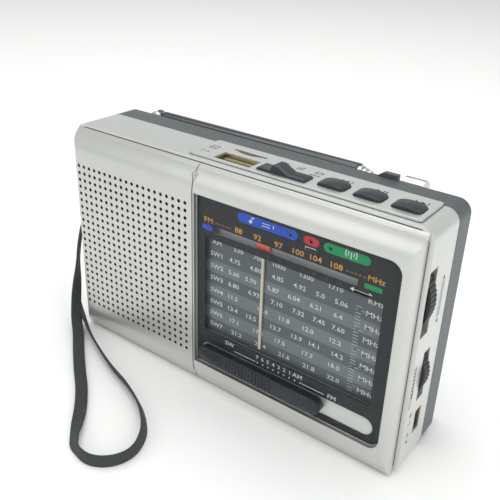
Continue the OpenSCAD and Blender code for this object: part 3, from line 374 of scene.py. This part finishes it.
# painted light: the travel bar's grey is made about twice as light as its own colour, so it reads lit where
# it sits in shade deep behind the window mask
makeFinish("travel_bar_painted_light", (0.46, 0.49, 0.50), rough=(0.4, 0.5), grain=1500.0, edge=0.02, rub=0)
makeFinish("band_print", (0.185, 0.215, 0.225), (0.165, 0.19, 0.20), rough=(0.5, 0.6), grain=1800.0,
           bump=0.02, edge=0.02, rub=0)
makeFinish("speaker_felt", (0.012, 0.013, 0.014), rough=(0.9, 1.0), grain=3600.0, bump=1.0, edge=0.02, rub=0)
print("finishes ready:", len(finishes))

for part in frame["record"]["subparts"]:
    for slot in nodes[part["node"]].material_slots:
        slot.material = finishes[part["material_slot"]]


# making pieces

def newPiece(name, mesh, finish, body, smooth=None):
    piece = bpy.data.objects.new(name, mesh)
    bpy.context.scene.collection.objects.link(piece)
    if finish:
        mesh.materials.clear()
        mesh.materials.append(finishes[finish])
    if smooth:
        mesh.shade_smooth()
        mesh.set_sharp_from_angle(angle=math.radians(smooth))
    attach(piece, body)
    return piece


def plainMesh(piece):  # the evaluated shape as a plain mesh, with its modifiers gone
    depsgraph = bpy.context.evaluated_depsgraph_get()
    mesh = bpy.data.meshes.new_from_object(piece.evaluated_get(depsgraph))
    piece.modifiers.clear()
    return mesh


facings = {"front": Matrix(((1, 0, 0, 0), (0, 0, -1, 0), (0, 1, 0, 0), (0, 0, 0, 1))),
           "top": Matrix.Identity(4),
           "side": Matrix(((0, 0, 1, 0), (1, 0, 0, 0), (0, 1, 0, 0), (0, 0, 0, 1)))}


def onPlane(facing, depth):  # a matrix from flat drawing millimetres to the face at that depth
    offset = {"front": (0, depth, 0), "top": (0, 0, depth), "side": (depth, 0, 0)}[facing]
    return Matrix.Translation(mm(*offset)) @ facings[facing] @ Matrix.Scale(0.001, 4)


def box2(x0, z0, x1, z1):
    return [(x0, z0), (x1, z0), (x1, z1), (x0, z1)]


def arc(x, z, r, start, end, steps=8):
    return [(x + r * math.cos(math.radians(start + (end - start) * i / steps)),
             z + r * math.sin(math.radians(start + (end - start) * i / steps))) for i in range(steps + 1)]


def disc(x, z, r, steps=16):
    return arc(x, z, r, 0, 360 * (steps - 1) / steps, steps - 1)


def rounded2(x0, z0, x1, z1, r):
    return (arc(x1 - r, z0 + r, r, -90, 0) + arc(x1 - r, z1 - r, r, 0, 90)
            + arc(x0 + r, z1 - r, r, 90, 180) + arc(x0 + r, z0 + r, r, 180, 270))


def pill(x0, z0, x1, z1):
    return rounded2(x0, z0, x1, z1, (z1 - z0) / 2 - 0.001)


def arrow(x, z, size, turn):
    return [(x + size * math.cos(math.radians(turn + a)), z + size * math.sin(math.radians(turn + a)))
            for a in (0, 120, 240)]


def flatPrint(name, outlines, facing, depth, finish, body="radio", thick=0.02):
    curve = bpy.data.curves.new(name, "CURVE")
    curve.dimensions, curve.fill_mode, curve.extrude = "2D", "BOTH", thick / 2
    for outline in outlines:
        spline = curve.splines.new("POLY")
        spline.points.add(len(outline) - 1)
        for point, (x, z) in zip(spline.points, outline):
            point.co = (x, z, 0, 1)
        spline.use_cyclic_u = True
    holder = bpy.data.objects.new(name, curve)
    bpy.context.scene.collection.objects.link(holder)
    mesh = plainMesh(holder)
    bpy.data.objects.remove(holder)
    mesh.transform(onPlane(facing, depth))
    return newPiece(name, mesh, finish, body)


letterLook = {"widen": 1.16, "bolder": 0.008}


def printedWords(name, entries, facing, depth, finish, body="radio", thick=0.02):
    merged = bmesh.new()
    for words, x, z, size, turn in entries:
        curve = bpy.data.curves.new(name, "FONT")
        curve.body, curve.size, curve.extrude, curve.resolution_u = words, size, thick / 2, 2
        curve.align_x, curve.align_y = "CENTER", "CENTER"
        curve.offset = size * letterLook["bolder"]
        holder = bpy.data.objects.new(name, curve)
        bpy.context.scene.collection.objects.link(holder)
        mesh = plainMesh(holder)
        bpy.data.objects.remove(holder)
        mesh.transform(Matrix.Translation((x, z, 0)) @ Matrix.Rotation(math.radians(turn), 4, "Z")
                       @ Matrix.Diagonal((letterLook["widen"], 1, 1, 1)))
        merged.from_mesh(mesh)
    mesh = bpy.data.meshes.new(name)
    bmesh.ops.transform(merged, matrix=onPlane(facing, depth), verts=merged.verts)
    merged.to_mesh(mesh)
    merged.free()
    return newPiece(name, mesh, finish, body)


softLook = {"weld": 0.002, "flatAngle": 0.6, "segments": 2, "edgeAngle": 32, "smooth": 30}


def softened(node, width):  # the CAD shape with its edges broken
    copy = nodes[node].data.copy()
    work = bmesh.new()
    work.from_mesh(copy)
    bmesh.ops.remove_doubles(work, verts=work.verts, dist=mm(softLook["weld"]))
    flat = math.radians(softLook["flatAngle"])
    bmesh.ops.dissolve_limit(work, angle_limit=flat, verts=work.verts, edges=work.edges)
    work.to_mesh(copy)
    work.free()
    piece = bpy.data.objects.new(node + "_soft", copy)
    bpy.context.scene.collection.objects.link(piece)
    bevel = piece.modifiers.new("brokenEdges", "BEVEL")
    bevel.width, bevel.segments, bevel.limit_method = mm(width), softLook["segments"], "ANGLE"
    bevel.angle_limit, bevel.use_clamp_overlap = math.radians(softLook["edgeAngle"]), True
    copy = plainMesh(piece)
    bpy.data.objects.remove(piece)
    slot = next(p["material_slot"] for p in frame["record"]["subparts"] if p["node"] == node)
    piece = newPiece(node + "_soft", copy, slot, bodyOf[node], smooth=softLook["smooth"])
    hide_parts(node)
    return piece


# geometry nodes: even rows of marks

def makeMarkTree(shape):
    tree = bpy.data.node_groups.new("evenMarks" + shape, "GeometryNodeTree")
    wires = tree.interface
    for label, kind in (("Geometry", "Geometry"), ("Count", "Int"), ("Start", "Vector"), ("Step", "Vector"),
                        ("Size", "Vector"), ("Turn", "Vector"), ("Finish", "Material")):
        wires.new_socket(label, in_out="INPUT", socket_type="NodeSocket" + kind)
    wires.new_socket("Geometry", in_out="OUTPUT", socket_type="NodeSocketGeometry")
    inside, outside = tree.nodes.new("NodeGroupInput"), tree.nodes.new("NodeGroupOutput")
    line = tree.nodes.new("GeometryNodeMeshLine")
    line.mode = "OFFSET"
    if shape == "Box":
        mark = tree.nodes.new("GeometryNodeMeshCube")
    else:
        mark = tree.nodes.new("GeometryNodeMeshCylinder")
        mark.inputs["Vertices"].default_value = 12
        mark.inputs["Radius"].default_value, mark.inputs["Depth"].default_value = 0.5, 1
    put = tree.nodes.new("GeometryNodeInstanceOnPoints")
    real = tree.nodes.new("GeometryNodeRealizeInstances")
    paint = tree.nodes.new("GeometryNodeSetMaterial")
    links = tree.links
    links.new(inside.outputs["Count"], line.inputs["Count"])
    links.new(inside.outputs["Start"], line.inputs["Start Location"])
    links.new(inside.outputs["Step"], line.inputs["Offset"])
    links.new(line.outputs["Mesh"], put.inputs["Points"])
    links.new(mark.outputs["Mesh"], put.inputs["Instance"])
    links.new(inside.outputs["Turn"], put.inputs["Rotation"])
    links.new(inside.outputs["Size"], put.inputs["Scale"])
    links.new(put.outputs["Instances"], real.inputs["Geometry"])
    links.new(real.outputs["Geometry"], paint.inputs["Geometry"])
    links.new(inside.outputs["Finish"], paint.inputs["Material"])
    links.new(paint.outputs["Geometry"], outside.inputs["Geometry"])
    return tree


markTrees = {shape: makeMarkTree(shape) for shape in ("Box", "Round")}


def markRow(name, shape, row, finish, body="radio"):
    tree = markTrees[shape]
    holder = bpy.data.objects.new(name, bpy.data.meshes.new(name))
    bpy.context.scene.collection.objects.link(holder)
    modifier = holder.modifiers.new("marks", "NODES")
    modifier.node_group = tree
    values = {"Count": row["count"], "Start": mm(*row["start"]), "Step": mm(*row["step"]),
              "Size": mm(*row["size"]),
              "Turn": tuple(math.radians(a) for a in row.get("turn", (0, 0, 0))), "Finish": finishes[finish]}
    for item in tree.interface.items_tree:
        if item.item_type == "SOCKET" and item.in_out == "INPUT" and item.name in values:
            modifier[item.identifier] = values[item.name]
    mesh = plainMesh(holder)
    bpy.data.objects.remove(holder)
    return newPiece(name, mesh, None, body)


# wrist strap: flat webbing; it lies along its CAD route and hangs up to 2.4 mm away from it

strapLook = {"width": 4.0, "thick": 0.75, "steps": 6, "lift": 0.12,
             "route": [(-66.4, -8.6, 43.4), (-66.7, -10.6, 39), (-66.9, -12.2, 34.6), (-66.9, -13.8, 28),
                       (-67, -15, 20), (-67, -16.4, 11), (-64.8, -18.8, 4.6), (-60, -22.4, 1.8),
                       (-52.8, -28.4, 1.1), (-43.5, -35.8, 1.1), (-34.6, -42.6, 1.1), (-27.2, -49.4, 1.2),
                       (-21.2, -56, 1.5), (-17, -60.4, 1.8), (-12.4, -62.8, 2), (-7.8, -63, 2),
                       (-4, -61.2, 2), (-1.2, -58, 2), (0, -54, 2), (-0.8, -49.6, 2), (-4.4, -43.8, 2),
                       (-12, -37.8, 2), (-22.4, -33, 2), (-35, -29, 2), (-47.4, -24, 2), (-57.4, -19.4, 2.2),
                       (-64.4, -16, 4.4), (-67.9, -15.2, 10.5), (-68.2, -14.4, 19), (-68.1, -13.2, 28),
                       (-68.1, -11.6, 34.6), (-67.9, -10, 39.4), (-67.6, -8.2, 43.4)],
             # which way the width of the webbing points along the route: point number and direction
             "lean": [(0, (-0.75, 0.66, 0)), (3, (-0.6, 0.8, 0)), (5, (0.2, 0.97, 0)), (7, (0.6, 0.8, 0)),
                      (11, (0.7, 0.71, 0.0)), (13, (0.4, 0.5, 0.75)), (14, (0, 0.1, 1)), (17, (0, 0.1, 1)),
                      (20, (-0.15, -0.31, 0.94)), (25, (-0.15, -0.31, 0.94)), (27, (0.3, -0.75, 0.6)),
                      (29, (0.75, -0.66, 0)), (32, (0.75, -0.66, 0))]}


def smoothPoint(a, b, c, d, t):  # a curve that passes through every point of the route
    squared, cubed = 2 * a - 5 * b + 4 * c - d, 3 * b - a - 3 * c + d
    return 0.5 * (2 * b + (c - a) * t + squared * t ** 2 + cubed * t ** 3)


def makeStrap(look):
    route = [Vector(mm(*p)) for p in look["route"]]
    last = len(route) - 1
    path, lean = [], []
    for i in range(last):
        for k in range(look["steps"]):
            t = k / look["steps"]
            path.append(smoothPoint(route[max(i - 1, 0)], route[i], route[i + 1], route[min(i + 2, last)], t))
            lean.append(i + t)
    path.append(route[-1])
    lean.append(last)

    def leanAt(at):
        for (n0, d0), (n1, d1) in zip(look["lean"], look["lean"][1:]):
            if at <= n1:
                t = (at - n0) / (n1 - n0)
                t = t * t * (3 - 2 * t)
                return Vector(d0).lerp(Vector(d1), t)
        return Vector(look["lean"][-1][1])
    # cross-section of the webbing: a flat bar with round selvedges
    half, thin = mm(look["width"]) / 2, mm(look["thick"]) / 2
    edgeAt, innerAt, selvedge = half * 0.92, half * 0.5, thin * 0.4
    section = [(-half, -selvedge), (-edgeAt, -thin), (-innerAt, -thin), (0, -thin), (innerAt, -thin),
               (edgeAt, -thin), (half, -selvedge), (half, selvedge), (edgeAt, thin), (innerAt, thin),
               (0, thin), (-innerAt, thin), (-edgeAt, thin), (-half, selvedge)]
    count = len(section)
    verts, faces, strips = [], [], []
    run, previous = 0.0, None
    for n, centre in enumerate(path):
        heading = (path[min(n + 1, len(path) - 1)] - path[max(n - 1, 0)]).normalized()
        width = leanAt(lean[n])
        width = (width - heading * width.dot(heading)).normalized()
        if previous is not None and width.dot(previous) < 0:
            width = -width
        previous = width
        face = heading.cross(width)
        run += (centre - path[n - 1]).length if n else 0
        for a, b in section:
            point = centre + width * a + face * b
            point.z = max(point.z, mm(look["lift"]))
            verts.append(point)
            strips.append((run * 1000, a * 1000))
    for n in range(len(path) - 1):
        for k in range(count):
            faces.append((n * count + k, (n + 1) * count + k, (n + 1) * count + (k + 1) % count,
                          n * count + (k + 1) % count))
    faces.append(tuple(range(count)))
    faces.append(tuple((len(path) - 1) * count + k for k in range(count))[::-1])
    mesh = bpy.data.meshes.new("webbing")
    mesh.from_pydata(verts, [], faces)
    layer = mesh.uv_layers.new(name="strip")
    for loop in mesh.loops:
        layer.data[loop.index].uv = strips[loop.vertex_index]
    work = bmesh.new()
    work.from_mesh(mesh)
    bmesh.ops.recalc_face_normals(work, faces=work.faces)
    work.to_mesh(mesh)
    work.free()
    strap = newPiece("webbing", mesh, "strap_web", "radio", smooth=60)
    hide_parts("wrist_strap")
    return run


strapLength = makeStrap(strapLook)
print("strap made, length", round(strapLength * 1000), "mm")


# printing on the window and the scale

windowPrint = {"depth": -13.53, "scaleDepth": -11.71, "eye": (116.07, 149.64), "eyeToFace": 141.92,
               "face": -15, "layer": 0.012, "inkThick": 0.01}


def behind(x, z, depth):  # where a mark seen at (x, z) on the face plane lies on a plane behind it
    t = (depth - windowPrint["face"]) / (depth - windowPrint["face"] + windowPrint["eyeToFace"])
    return (x - t * windowPrint["eye"][0]) / (1 - t), (z - t * windowPrint["eye"][1]) / (1 - t)


def seen(entries, depth):
    return [(words, *behind(x, z, depth), size, turn) for words, x, z, size, turn in entries]


def seenShapes(shapes, depth):
    return [[behind(x, z, depth) for x, z in shape] for shape in shapes]


def windowInk(name, shapes, depth, finish):
    flatPrint(name, seenShapes(shapes, depth), "front", depth, finish, thick=windowPrint["inkThick"])


def windowWords(name, entries, depth, finish):
    printedWords(name, seen(entries, depth), "front", depth, finish, thick=windowPrint["inkThick"])


def windowMarks(name, shape, at, depth, row, finish):  # a row that starts where it is seen, plus its shift
    x, z = behind(*at, depth)
    right, up = row.pop("shift", (0, 0))
    markRow(name, shape, {"start": (x + right, depth, z + up), **row}, finish)


back, scaleFace = windowPrint["depth"], windowPrint["scaleDepth"]
ink, scaleInk = back - windowPrint["layer"], scaleFace - windowPrint["layer"]
over = ink - windowPrint["layer"]

# the coloured pills with a lamp hole in each: corners, place of the lamp and finish
pillLook = {"lampZ": 67.4, "lampR": 0.55, "maskR": 0.62,
            "pills": {"bluePill": ((7.7, 65.9, 28.4, 68.9), 26.05, "print_blue"),
                      "redPill": ((30.3, 66.1, 35.3, 68.7), 32.8, "print_red"),
                      "greenPill": ((36.7, 65.9, 50.7, 68.7), 38.9, "print_green")}}
maskLook = {"left": -8.9, "right": 55.7, "low": 12.7, "high": 65.9, "corner": 3.7,
            "slot": (-6.52, 11.58, 56.72, 17.52), "scale": (-4.4, 23.6, 55.6, 56.8),
            "travel": (-0.6, 59.2, 47.7, 61.3)}


def makeMask(look, pills):  # the black border, with openings for slot, scale, travel bar and lamps
    low, high = look["low"], look["high"]
    corner, right = look["corner"], look["right"]
    border = arc(right, low, corner, -90, 0) + arc(right, high, corner, 0, 90)
    border += [(look["left"], high + corner), (look["left"], low - corner)]
    shapes = [border, pill(*look["slot"])]
    holes = [box2(*look["scale"]), box2(*look["travel"])]
    holes += [disc(lamp, pills["lampZ"], pills["maskR"]) for _, lamp, _ in pills["pills"].values()]
    flatPrint("windowMask", shapes + seenShapes(holes, back), "front", back, "window_mask")


makeMask(maskLook, pillLook)
for name, (corners, lamp, finish) in pillLook["pills"].items():
    windowInk(name, [pill(*corners), disc(lamp, pillLook["lampZ"], pillLook["lampR"])], ink, finish)
windowInk("smallBluePill", [pill(-5.5, 59.3, -1.6, 61.1)], ink, "print_blue")
windowInk("greenBar", [box2(49.7, 59.5, 54.8, 61.0)], ink, "print_green")

fmLook = {"z": 62.7, "size": 2.5, "unit": ("MHz", 52.9, 62.75, 2.3, 0), "dashesZ": 62.6,
          "marks": [(-3.1, "FM"), (8.2, "88"), (15.0, "92"), (22.3, "97"), (28.7, "100"), (34.4, "104"),
                    (40.9, "108")]}
fmRow = [(words, x, fmLook["z"], fmLook["size"], 0) for x, words in fmLook["marks"]] + [fmLook["unit"]]
windowWords("fmNumbers", fmRow, ink, "print_orange")
for name, x in (("fmDashesLeft", -0.1), ("fmDashesRight", 44.4)):
    dashes = {"count": 5, "step": (1.28, 0, 0), "size": (0.75, 0.01, 0.16)}
    windowMarks(name, "Box", (x, fmLook["dashesZ"]), ink, dashes, "print_orange")
tensLook = {"count": 11, "first": 3.7, "step": 3.85, "z": 57.95, "size": 1.75}
tensRow = [(str(k), tensLook["first"] + tensLook["step"] * k, tensLook["z"], tensLook["size"], 0)
           for k in range(tensLook["count"])]
windowWords("tensNumbers", tensRow, ink, "digit_dark")

# small pictures stand where the words were: a note, a plug, a battery, waves from a mast and a double arrow
note = [disc(12.4, 67.0, 0.55), box2(12.75, 67.0, 12.97, 68.5), box2(12.97, 68.1, 13.7, 68.5)]
plug = [box2(16.4, 66.9, 19.2, 67.1), box2(16.4, 67.7, 19.2, 67.9), box2(20.2, 66.7, 20.5, 68.1),
        box2(20.5, 67.3, 22, 67.5)]
mastLook = {"x": 45.02, "z": 67.7, "radii": (1.0, 1.8), "line": 0.24, "starts": (-38, 142), "sweep": 76}
mast = [box2(44.9, 66.3, 45.15, 68.2)]
for r in mastLook["radii"]:
    for start in mastLook["starts"]:
        end = start + mastLook["sweep"]
        mast.append(arc(mastLook["x"], mastLook["z"], r, start, end)
                    + arc(mastLook["x"], mastLook["z"], r - mastLook["line"], end, start))
battery = [box2(31.0, 64.3, 34.4, 65.5), box2(31.2, 64.5, 34.2, 65.3), box2(34.4, 64.65, 34.7, 65.15),
           box2(31.4, 64.65, 32.1, 65.15), box2(32.35, 64.65, 33.05, 65.15)]
doubleArrow = [arrow(46.4, 57.9, 0.75, 180), box2(46.7, 57.82, 51.4, 57.98), arrow(51.7, 57.9, 0.75, 0)]
windowInk("windowPictures", note + plug + mast + battery + doubleArrow, over, "print_white")

# the band slider's letters, figures, lines and dots
bandLook = {"z": 21.9, "letter": 2.1, "figure": 1.9, "first": 16.7, "step": 2.03, "figures": 7,
            "words": [("SW", 5.8, 21.9), ("AM", 31.6, 21.9), ("FM", 43.6, 20.1)]}
lowRow = [(words, x, z, bandLook["letter"], 0) for words, x, z in bandLook["words"]]
lowRow += [(str(bandLook["figures"] - k), bandLook["first"] + bandLook["step"] * k, bandLook["z"],
            bandLook["figure"], 0) for k in range(bandLook["figures"])]
windowWords("bandLetters", lowRow, ink, "print_white")
windowInk("bandLines", [box2(7.8, 19.92, 16.0, 20.18), box2(33.2, 19.92, 41.0, 20.18)], ink, "print_white")
bandDots = {"count": 9, "step": (2.0, 0, 0), "size": (0.62, 0.62, 0.01), "turn": (90, 0, 0)}
windowMarks("bandDots", "Round", (16.9, 20.05), ink, bandDots, "print_white")

# the scale sheet: pale bands, eight rows of numbers, a ladder of ticks and the grey travel bar, lightened
# with painted light
scaleLook = {"bandLeft": -6, "bandRight": 57, "bandHalf": 2.1, "travelBar": (-2, 58.8, 49, 61.6),
             "labelX": 0.3, "labelSize": 2.25, "unitX": 53.6, "unitSize": 2.35, "numberSize": 2.15}
for name, centre in (("paleBandA", 47.9), ("paleBandB", 39.4), ("paleBandC", 31.1)):
    low, high = centre - scaleLook["bandHalf"], centre + scaleLook["bandHalf"]
    windowInk(name, [box2(scaleLook["bandLeft"], low, scaleLook["bandRight"], high)], scaleFace, "band_print")
# the travel bar carries painted light: its grey is lightened against the shade it sits in behind the mask
windowInk("travelBar", [box2(*scaleLook["travelBar"])], scaleFace, "travel_bar_painted_light")
rows = [("AM", 56.2, "KHz", [(8.4, "530"), (15.6, "700"), (22.8, "1000"), (32.1, "1300"), (41.4, "1710")]),
        ("SW1", 52.2, "MHz", [(7.2, "4.75"), (14.8, "4.80"), (22.7, "4.85"), (30.2, "4.92"), (37, "5.0"),
                              (43.6, "5.06")]),
        ("SW2", 47.9, "MHz", [(6.9, "5.60"), (13.2, "5.70"), (21.3, "5.87"), (28.5, "6.04"), (35.9, "6.21"),
                              (43, "6.4")]),
        ("SW3", 43.8, "MHz", [(6.9, "6.80"), (14.5, "6.93"), (22.8, "7.10"), (30.3, "7.32"), (37.2, "7.45"),
                              (43.4, "7.60")]),
        ("SW4", 39.4, "MHz", [(6.6, "11.5"), (17.8, "11.6"), (25.6, "11.8"), (33.8, "12.0"), (42.8, "12.2")]),
        ("SW5", 35.2, "MHz", [(6.6, "13.4"), (13.7, "13.5"), (22.7, "13.7"), (30.2, "13.9"), (36.3, "14.1"),
                              (43.9, "14.2")]),
        ("SW6", 31.1, "MHz", [(7.4, "17.1"), (16.5, "17.3"), (24.5, "17.5"), (34.2, "17.7"), (43.1, "18.0")]),
        ("SW7", 26.9, "MHz", [(8.4, "21.2"), (17.6, "21.4"), (26.4, "21.6"), (35.1, "21.8"), (43.4, "22.0")])]
scaleWords = []
for label, z, unit, numbers in rows:
    scaleWords += [(label, scaleLook["labelX"], z, scaleLook["labelSize"], 0),
                   (unit, scaleLook["unitX"], z, scaleLook["unitSize"], 0)]
    scaleWords += [(words, x, z, scaleLook["numberSize"], 0) for x, words in numbers]
windowWords("scaleNumbers", scaleWords, scaleInk, "print_white")
ladderFoot = (49.0, 25.7)
ticks = {"count": 28, "step": (0, 0, 1.05), "shift": (-0.2, 0), "size": (1.7, 0.01, 0.13)}
longTicks = {"count": 5, "step": (0, 0, 6.3), "shift": (0.7, 2.1), "size": (2.3, 0.01, 0.13)}
windowMarks("scaleTicks", "Box", ladderFoot, scaleInk, ticks, "print_white")
windowMarks("scaleLongTicks", "Box", ladderFoot, scaleInk, longTicks, "print_white")
windowInk("scaleFootLine", [box2(-5, 23.9, 56, 24.2)], scaleInk, "print_white")
print("window and scale printed")


# printing on the top and on the right side

topFace = 80.06
topShapes = []
for centre, turn in ((32.1, 180), (54.4, 0)):
    topShapes += [arrow(centre + offset, 0.75, 1.05, turn) for offset in (-0.2, 1.5)]
topShapes += [box2(34.9, 0.3, 35.2, 1.9), box2(57.3, 0.3, 57.6, 1.9), arrow(43.0, 0.75, 1.05, 0),
              box2(44.5, -0.1, 44.85, 1.8), box2(45.4, -0.1, 45.75, 1.8)]
topShapes += [disc(12.6, 0.2, 0.75), disc(12.6, 0.2, 0.45), box2(13.05, 0.2, 13.3, 1.9),
              box2(13.3, 1.5, 14.3, 1.8), box2(17.2, -0.2, 17.5, 1.4), box2(18.0, -0.2, 18.3, 1.8),
              box2(18.8, -0.2, 19.1, 2.2),
              box2(23.2, 0.2, 25.6, 1.7), box2(23.5, 0.45, 25.3, 1.45), box2(22.4, -1.5, 26.0, -1.1)]
topShapes += [rounded2(-13.6, -2.6, -10.8, 0.2, 0.4), rounded2(-13.35, -2.35, -11.05, -0.05, 0.3),
              box2(-13.0, -1.6, -11.4, -1.3), box2(-13.8, -5.4, -11.4, -5.15),
              box2(-13.8, -6.4, -11.4, -6.15), box2(-13.8, -6.4, -13.55, -5.15),
              box2(-11.4, -5.95, -10.6, -5.6)]
flatPrint("topMarks", topShapes, "top", topFace, "print_black")
sideFace = 65.01
sideShapes = [arrow(0.2, 61.6, 0.9, 90), arrow(0.2, 48.2, 0.9, 270),
              [(-9.6, 27.2), (-8.9, 27.2), (-9.1, 38.2), (-9.3, 38.2)],
              disc(-7.6, 20.2, 0.7), disc(-7.6, 20.2, 0.42), disc(-7.6, 20.2, 0.2),
              box2(-8.4, 17.2, -6.8, 17.4), box2(-7.7, 18.0, -7.5, 18.8), box2(-8.4, 13.0, -6.8, 13.18),
              box2(-7.7, 12.2, -7.52, 13.9), disc(-7.6, 10.6, 0.55)]
flatPrint("sideMarks", sideShapes, "side", sideFace, "print_black")
markRow("tuningTicks", "Box", {"count": 13, "start": (sideFace, 0.2, 49.8), "step": (0, 0, 0.87),
                               "size": (0.02, 2.1, 0.3)}, "print_black")
markRow("volumeTicks", "Box", {"count": 12, "start": (sideFace, -9.9, 24.4), "step": (0, 0, 1.2),
                               "size": (0.02, 1.4, 0.34)}, "print_black")
print("top and side marked")


# joint lines of painted shade, grille and softened parts

# painted shade: each joint line is a thin dark tube standing for the shadow inside the gap between two parts
def groove(name, outline, depthAt, radius, closed=True):  # a thin dark line laid in a joint
    curve = bpy.data.curves.new(name, "CURVE")
    curve.dimensions, curve.bevel_depth, curve.bevel_resolution = "3D", mm(radius), 1
    curve.use_fill_caps = not closed
    spline = curve.splines.new("POLY")
    spline.points.add(len(outline) - 1)
    for point, (x, z) in zip(spline.points, outline):
        point.co = (*mm(*depthAt(x, z)), 1)
    spline.use_cyclic_u = closed
    holder = bpy.data.objects.new(name, curve)
    bpy.context.scene.collection.objects.link(holder)
    mesh = plainMesh(holder)
    bpy.data.objects.remove(holder)
    return newPiece(name, mesh, "joint_painted_shade", "radio")


# each joint line: its outline as two corners and a corner radius, the depth it lies at and its own radius
jointLook = {"panel": ((-63.5, 0.6, 63.5, 78.3, 3.1), -10.94, 0.17),
             "topPanel": ((-15.65, -9.45, 60.25, 4.95, 1.05), 79.31, 0.13),
             "shell": ((-65, 0.03, 65, 79.3, 4), 5, 0.1)}
for name, (outline, level, radius) in jointLook.items():
    place = (lambda x, y: (x, y, level)) if name == "topPanel" else (lambda x, z: (x, level, z))
    groove(name + "Joint", rounded2(*outline), place, radius)

seamLook = {"radius": 0.2, "sink": 0.1, "beside": 0.25, "gap": 0.1, "firstAngle": 5, "lastAngle": 174,
            "centre": (-8.5, 39.0), "reach": 80, "least": 5}


# the grille seam is drawn the same way, as a line of painted shade
def seamGroove(look):  # the joint between grille and bezel, followed over the rolls by rays cast on the bezel
    data = nodes["dial_bezel"].data
    solid = BVHTree.FromPolygons([v.co for v in data.vertices], [f.vertices for f in data.polygons])
    left = min(v.co.x for v in data.vertices)
    midY, midZ = mm(*look["centre"])
    trace = []
    for angle in range(look["firstAngle"], look["lastAngle"] + 1):
        out = Vector((0, -math.sin(math.radians(angle)), math.cos(math.radians(angle))))
        middle = Vector((left + mm(look["beside"]), midY, midZ))
        spot = solid.ray_cast(middle + out * mm(look["reach"]), -out)[0]
        if spot and (spot - middle).dot(out) > mm(look["least"]):
            trace.append((spot - out * mm(look["sink"])) * 1000)
    seat = {index: (left * 1000 - look["gap"], point.y, point.z) for index, point in enumerate(trace)}
    steps = [(index, 0) for index in seat]
    groove("seamJoint", steps, lambda index, _: seat[index], look["radius"], closed=False)
    print("seam followed over", len(trace), "points")


seamGroove(seamLook)


holeLook = {"x": (-61.5, -11.4), "z": (11, 67), "face": -14.9, "steep": 0.4}


def darkHoleWalls(look):  # the drilled walls of the grille lie in shadow
    copy = nodes["speaker_grille"].data.copy()
    piece = newPiece("grille_drilled", copy, None, "radio")
    copy.materials.append(finishes["grille_shadow"])
    for face in copy.polygons:
        centre = face.center * 1000
        drilled = look["x"][0] < centre.x < look["x"][1] and look["z"][0] < centre.z < look["z"][1]
        if drilled and abs(face.normal.y) < look["steep"] and centre.y > look["face"]:
            face.material_index = 1
    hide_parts("speaker_grille")


darkHoleWalls(holeLook)

clothLook = {"low": (-61.2, -13.16, 11.2), "high": (-11.6, -13.04, 69.0)}


def makeCloth(look):
    work = bmesh.new()
    bmesh.ops.create_cube(work, size=1)
    low, high = Vector(mm(*look["low"])), Vector(mm(*look["high"]))
    for vert in work.verts:
        vert.co = Vector((low[i] + (high[i] - low[i]) * (vert.co[i] + 0.5) for i in range(3)))
    mesh = bpy.data.meshes.new("grilleCloth")
    work.to_mesh(mesh)
    work.free()
    return newPiece("grilleCloth", mesh, "speaker_felt", "radio")


makeCloth(clothLook)
edgeWidths = {"back_button": 0.3, "play_button": 0.3, "forward_button": 0.3, "mode_knob": 0.3,
              "band_knob": 0.25}
for node, width in edgeWidths.items():
    softened(node, width)
print("softened parts ready")
